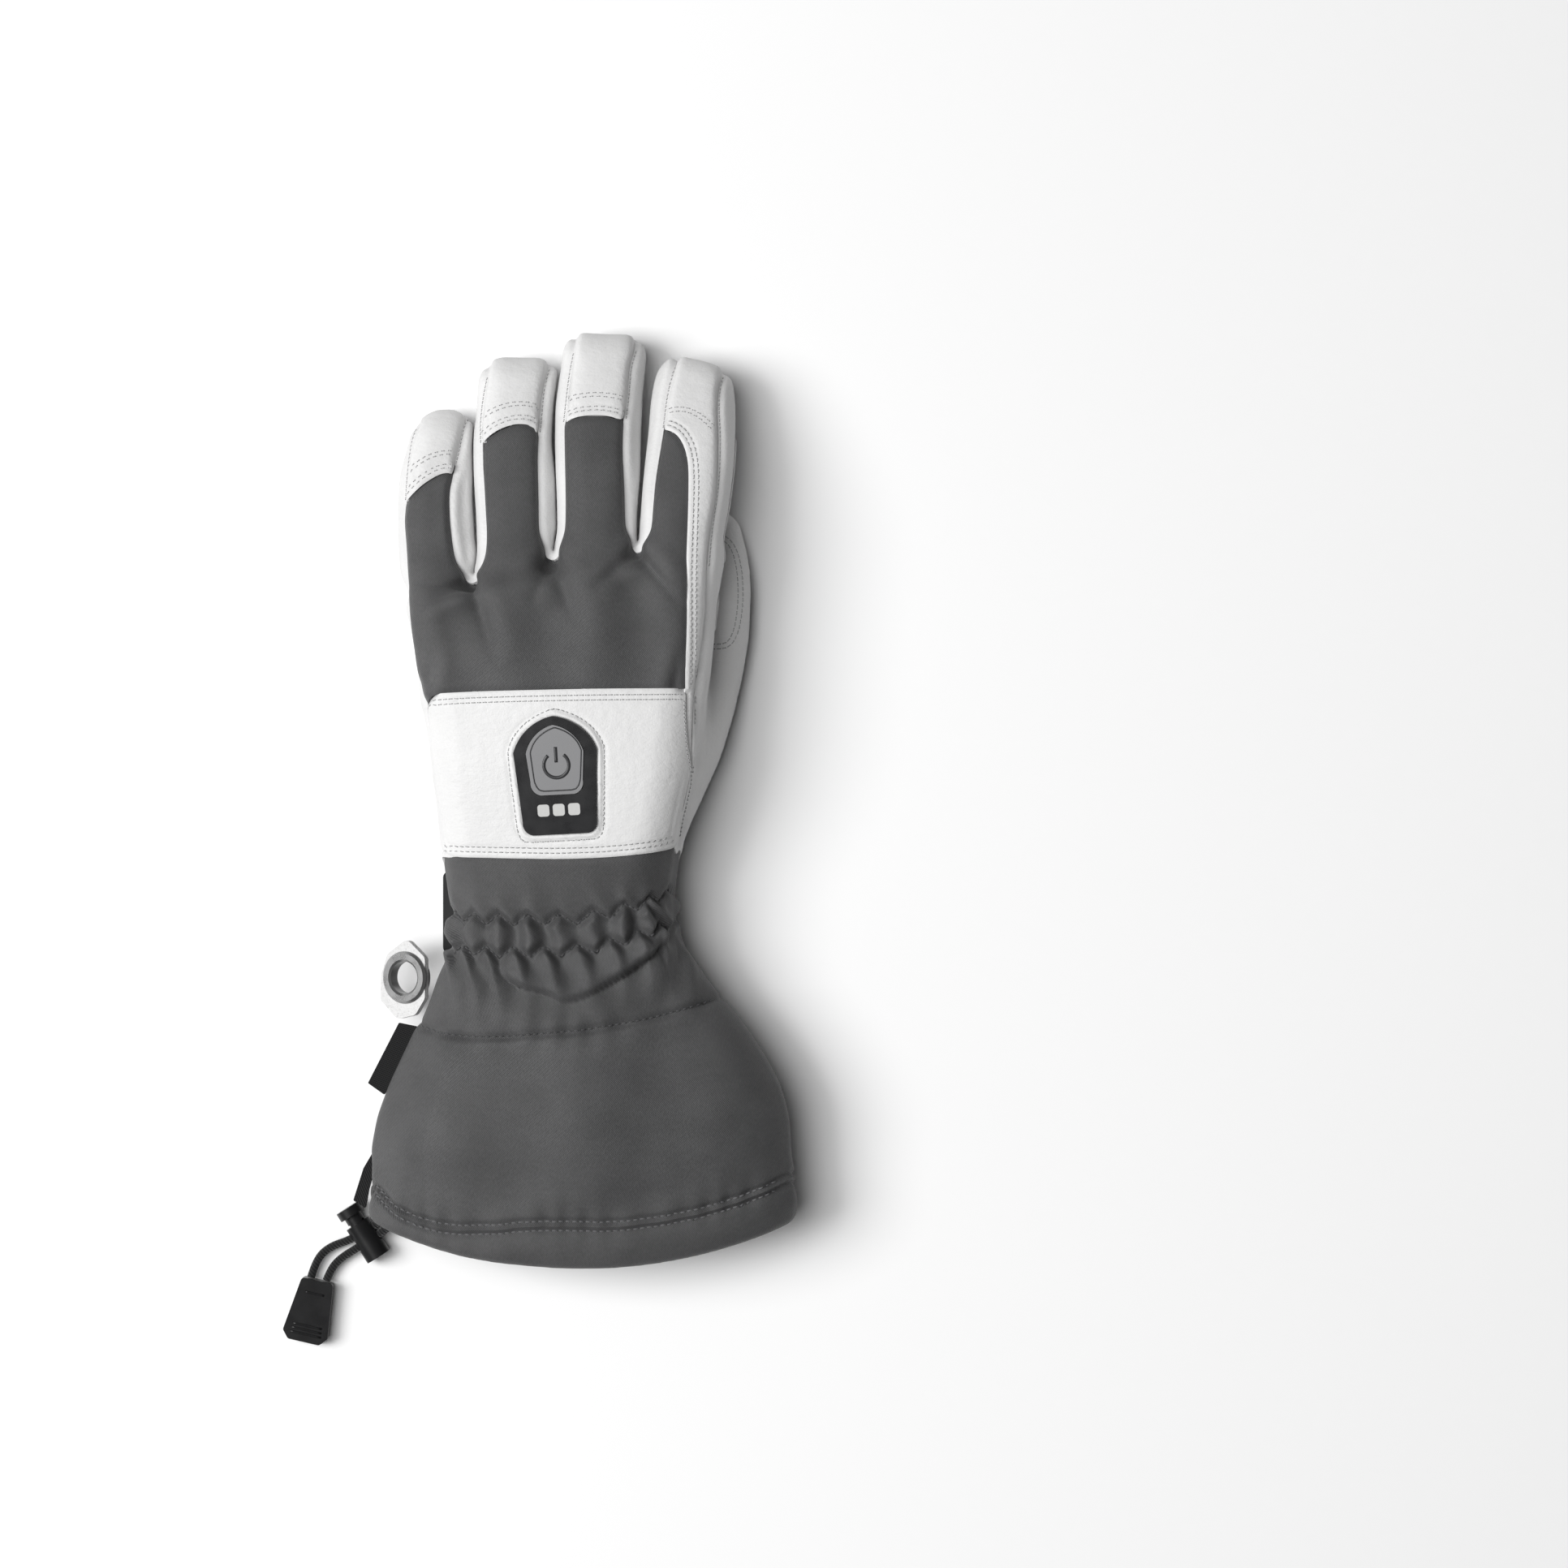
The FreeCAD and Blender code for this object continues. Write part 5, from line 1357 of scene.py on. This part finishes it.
for fitting in (
        ("controller_housing", gloss_black, "black_plastic", 0.5),
        ("controller_button", plain("button_face", (0.2, 0.2, 0.205), 0.38), "badge_face", 0.35),
        ("controller_lights", plain("light_window", (0.5, 0.5, 0.49), 0.3), "light_window", 0.25),
        ("controller_board", plain("circuit_board", (0.02, 0.12, 0.05), 0.5), "circuit_board", 0),
        ("battery_pack", plain("battery_case", (0.05, 0.05, 0.055), 0.45), "battery_case", 0),
        ("battery_lead", plain("heating_wire", (0.35, 0.03, 0.02), 0.5), "heating_wire", 0),
        ("battery_pocket", pile, "lining_fleece", 0),
        ("strap_ring", gloss_black, "black_plastic", 0.6),
        ("strap_sewn_webbing", strap_web, "black_webbing", 0.35),
        ("strap_flap", strap_web, "black_webbing", 0.35),
        ("strap_hook_tape", strap_web, "black_webbing", 0),
        ("strap_end_tab", plain("soft_rubber", (0.016, 0.016, 0.0165), 0.5, grain=0.04), "black_rubber", 0.7),
        ("eyelet_tab", leather("pebbled_leather", grain=0.3, roughness=0.5), "white_leather", 0.7),
        ("eyelet_front", gunmetal, "eyelet_metal", 0.3),
        ("eyelet_back", gunmetal, "eyelet_metal", 0.3),
        ("side_label", webbing("label_weave", (0.01, 0.01, 0.0105), 0.7, (0.4, 0.9, 0.0)), "woven_label", 0.3),
        ("lock_ribbon", webbing("ribbon_weave", WEB_BLACK, 0.8, (0.9, 0.4, 0.0)), "black_webbing", 0.3),
        ("lock_barrel", matte_black, "black_plastic", 0.45),
        ("lock_plunger", matte_black, "black_plastic", 0.7),
        ("lock_spring", plain("spring_steel", (0.45, 0.45, 0.46), 0.3, metallic=1.0), "spring_steel", 0),
        ("end_pull", matte_black, "black_rubber", 0.9)):
    finish_node(*fitting)


# A copy of the lock's spring, moving with the hand, is shown in place of the CAD part
coil = added("spring_coil", frame["nodes"]["lock_spring"].data.copy())
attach(coil, "hand")
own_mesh(coil)
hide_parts("lock_spring")


def surface_of(*nodes):
    """Ray-casting tree of some CAD nodes, in millimetres."""
    points, polygons = [], []
    for name in nodes:
        mesh = frame["nodes"][name].data
        base = len(points)
        points += [tuple(v / MM for v in vertex.co) for vertex in mesh.vertices]
        polygons += [tuple(base + i for i in polygon.vertices) for polygon in mesh.polygons]
    return BVHTree.FromPolygons(points, polygons)


def inked(name, lines, tree, width, material, body, lift=0.06):
    """Raised lines drawn on a surface seen from above, as half-sunk rods."""
    sides = 8
    points, faces = [], []
    for line, closed in lines:
        base = len(points)
        path = []
        for px, py in line:
            hit, normal, _, _ = tree.ray_cast(Vector((px, py, RAY_TOP)), Vector((0, 0, -1)))
            if hit is not None:
                path.append(np.array(hit) + lift * np.array(normal))
        path = np.array(path)
        along = unit(np.roll(path, -1, 0) - np.roll(path, 1, 0) if closed else np.gradient(path, axis=0))
        across = unit(np.cross(along, (0.0, 0.0, 1.0)))
        up = np.cross(across, along)
        for spot, side, top in zip(path, across, up):
            for k in range(sides):
                a = 2 * math.pi * k / sides
                points.append(spot + width / 2 * (math.cos(a) * side + 0.35 * math.sin(a) * top))
        rings = len(path)
        for i in range(rings if closed else rings - 1):
            for k in range(sides):
                a, b = base + i * sides + k, base + i * sides + (k + 1) % sides
                c, d = (base + (i + 1) % rings * sides + (k + 1) % sides, base + (i + 1) % rings * sides + k)
                faces.append((a, b, c, d))
        if not closed:
            faces.append(tuple(base + k for k in reversed(range(sides))))
            faces.append(tuple(base + (rings - 1) * sides + k for k in range(sides)))
    obj = make_object(name, points, faces, material)
    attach(obj, body)
    return obj


button_surface = surface_of("controller_button")
arc = [(4.6 * math.sin(math.radians(a)), 4.6 * math.cos(math.radians(a))) for a in range(38, 323, 6)]
stem = [(0.0, 6.6 - 0.8 * i) for i in range(8)]
inked("power_mark", [(on_badge(line, 3.6), False) for line in (arc, stem)], button_surface, 1.3, mark_dark,
      "power_button")
button_edge = resampled(shield(10.7, -7.0, 8.5, 18.6, -1.3), 0.8, closed=True)
inked("button_edge", [(on_badge(button_edge), True)], button_surface, 0.5, mark_dark, "power_button")

PULL_TOP, PULL_FOOT = np.array((-97.3, -180.6)), np.array((-102.6, -203.6))
pull_axis = (PULL_FOOT - PULL_TOP) / np.linalg.norm(PULL_FOOT - PULL_TOP)
pull_side = np.array((-pull_axis[1], pull_axis[0]))
grips = [([tuple(PULL_TOP + pull_axis * down + pull_side * u) for u in np.linspace(-reach, reach, 9)], False)
         for down, reach in ((17.4, 5.6), (19.0, 5.8), (20.6, 6.0), (5.0, 3.6))]
pull_grips = inked("pull_grips", grips, surface_of("end_pull"), 0.8, matte_black, "hand", lift=0.1)

# Ends of the drawcord, braided elastic, from the hem through the lock to the pull
CORD_DIAMETER = 3.0
braid = webbing("cord_braid", WEB_BLACK, 1.1, (0.7, 0.7, 0.2))
STRANDS = {
    "upper": (
        (-72.2, -157.1, 7.4), (-77, -160.6, 5.5), (-84.6, -165.2, 4.9), (-93.5, -168.3, 3.6), (-98.2, -173.4, 3.4),
        (-100, -179.6, 3.3),
    ),
    "lower": (
        (-70.2, -160.2, 7.4), (-75.2, -163.7, 5.5), (-82.4, -168.4, 4.9), (-88.9, -172.4, 3.6), (-92.6, -176.6, 3.4),
        (-94.2, -180.8, 3.3),
    ),
}
for name, points in STRANDS.items():
    curve = bpy.data.curves.new(f"cord_{name}", "CURVE")
    curve.dimensions = "3D"
    curve.bevel_depth = CORD_DIAMETER / 2 * MM
    curve.bevel_resolution = 4
    spline = curve.splines.new("NURBS")
    spline.points.add(len(points) - 1)
    for point, place in zip(spline.points, points):
        point.co = (*(v * MM for v in place), 1.0)
    spline.order_u = 3
    spline.use_endpoint_u = True
    spline.resolution_u = 12
    curve.materials.append(braid)
    strand = added(f"cord_{name}", curve)
    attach(strand, "hand")
    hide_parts(f"drawcord_{name}")

# ---------------------------------------------------------------- table, light and camera, in metres
FLOOR_HALF = 30.0
LIT_POINT = (0.0, 0.0, 0.02)
VIEW_CENTRE = (0.0777, 0.0057)
VIEW_HEIGHT = 0.03                           # of the plane that the picture is framed on
VIEW_WIDTH = 0.5796                          # seen across the picture in that plane
floor_mesh = bpy.data.meshes.new("floor")
floor_mesh.from_pydata([(u * FLOOR_HALF, v * FLOOR_HALF, 0.0) for u, v in ((-1, -1), (1, -1), (1, 1), (-1, 1))], [],
                       [(0, 1, 2, 3)])
floor_mesh.materials.append(plain("white_table", (0.9, 0.9, 0.9), 0.7))
added("floor", floor_mesh)


def area_light(name, place, size, power):
    """A round soft light turned to the glove."""
    light = bpy.data.lights.new(name, "AREA")
    light.shape = "DISK"
    light.size = size
    light.energy = power
    obj = added(name, light)
    obj.location = place
    obj.rotation_euler = (Vector(place) - Vector(LIT_POINT)).to_track_quat("Z", "Y").to_euler()
    return obj


area_light("key", (-2.1, 0.1, 2.3), 1.7, 73.0)
overhead = area_light("overhead", (-0.95, 0.1, 3.1), 2.2, 66.0)
overhead.visible_glossy = False
world = bpy.data.worlds.new("room")
world.use_nodes = True
background = world.node_tree.nodes["Background"].inputs
background["Color"].default_value = (1.0, 1.0, 1.0, 1.0)
background["Strength"].default_value = 0.08
bpy.context.scene.world = world
bpy.context.scene.view_settings.view_transform = "Standard"

camera = bpy.data.cameras.new("camera")
camera.lens = 100.0
camera.sensor_width = 36.0
camera_object = added("camera", camera)
camera_object.location = (*VIEW_CENTRE, VIEW_HEIGHT + VIEW_WIDTH * camera.lens / camera.sensor_width)
bpy.context.scene.camera = camera_object
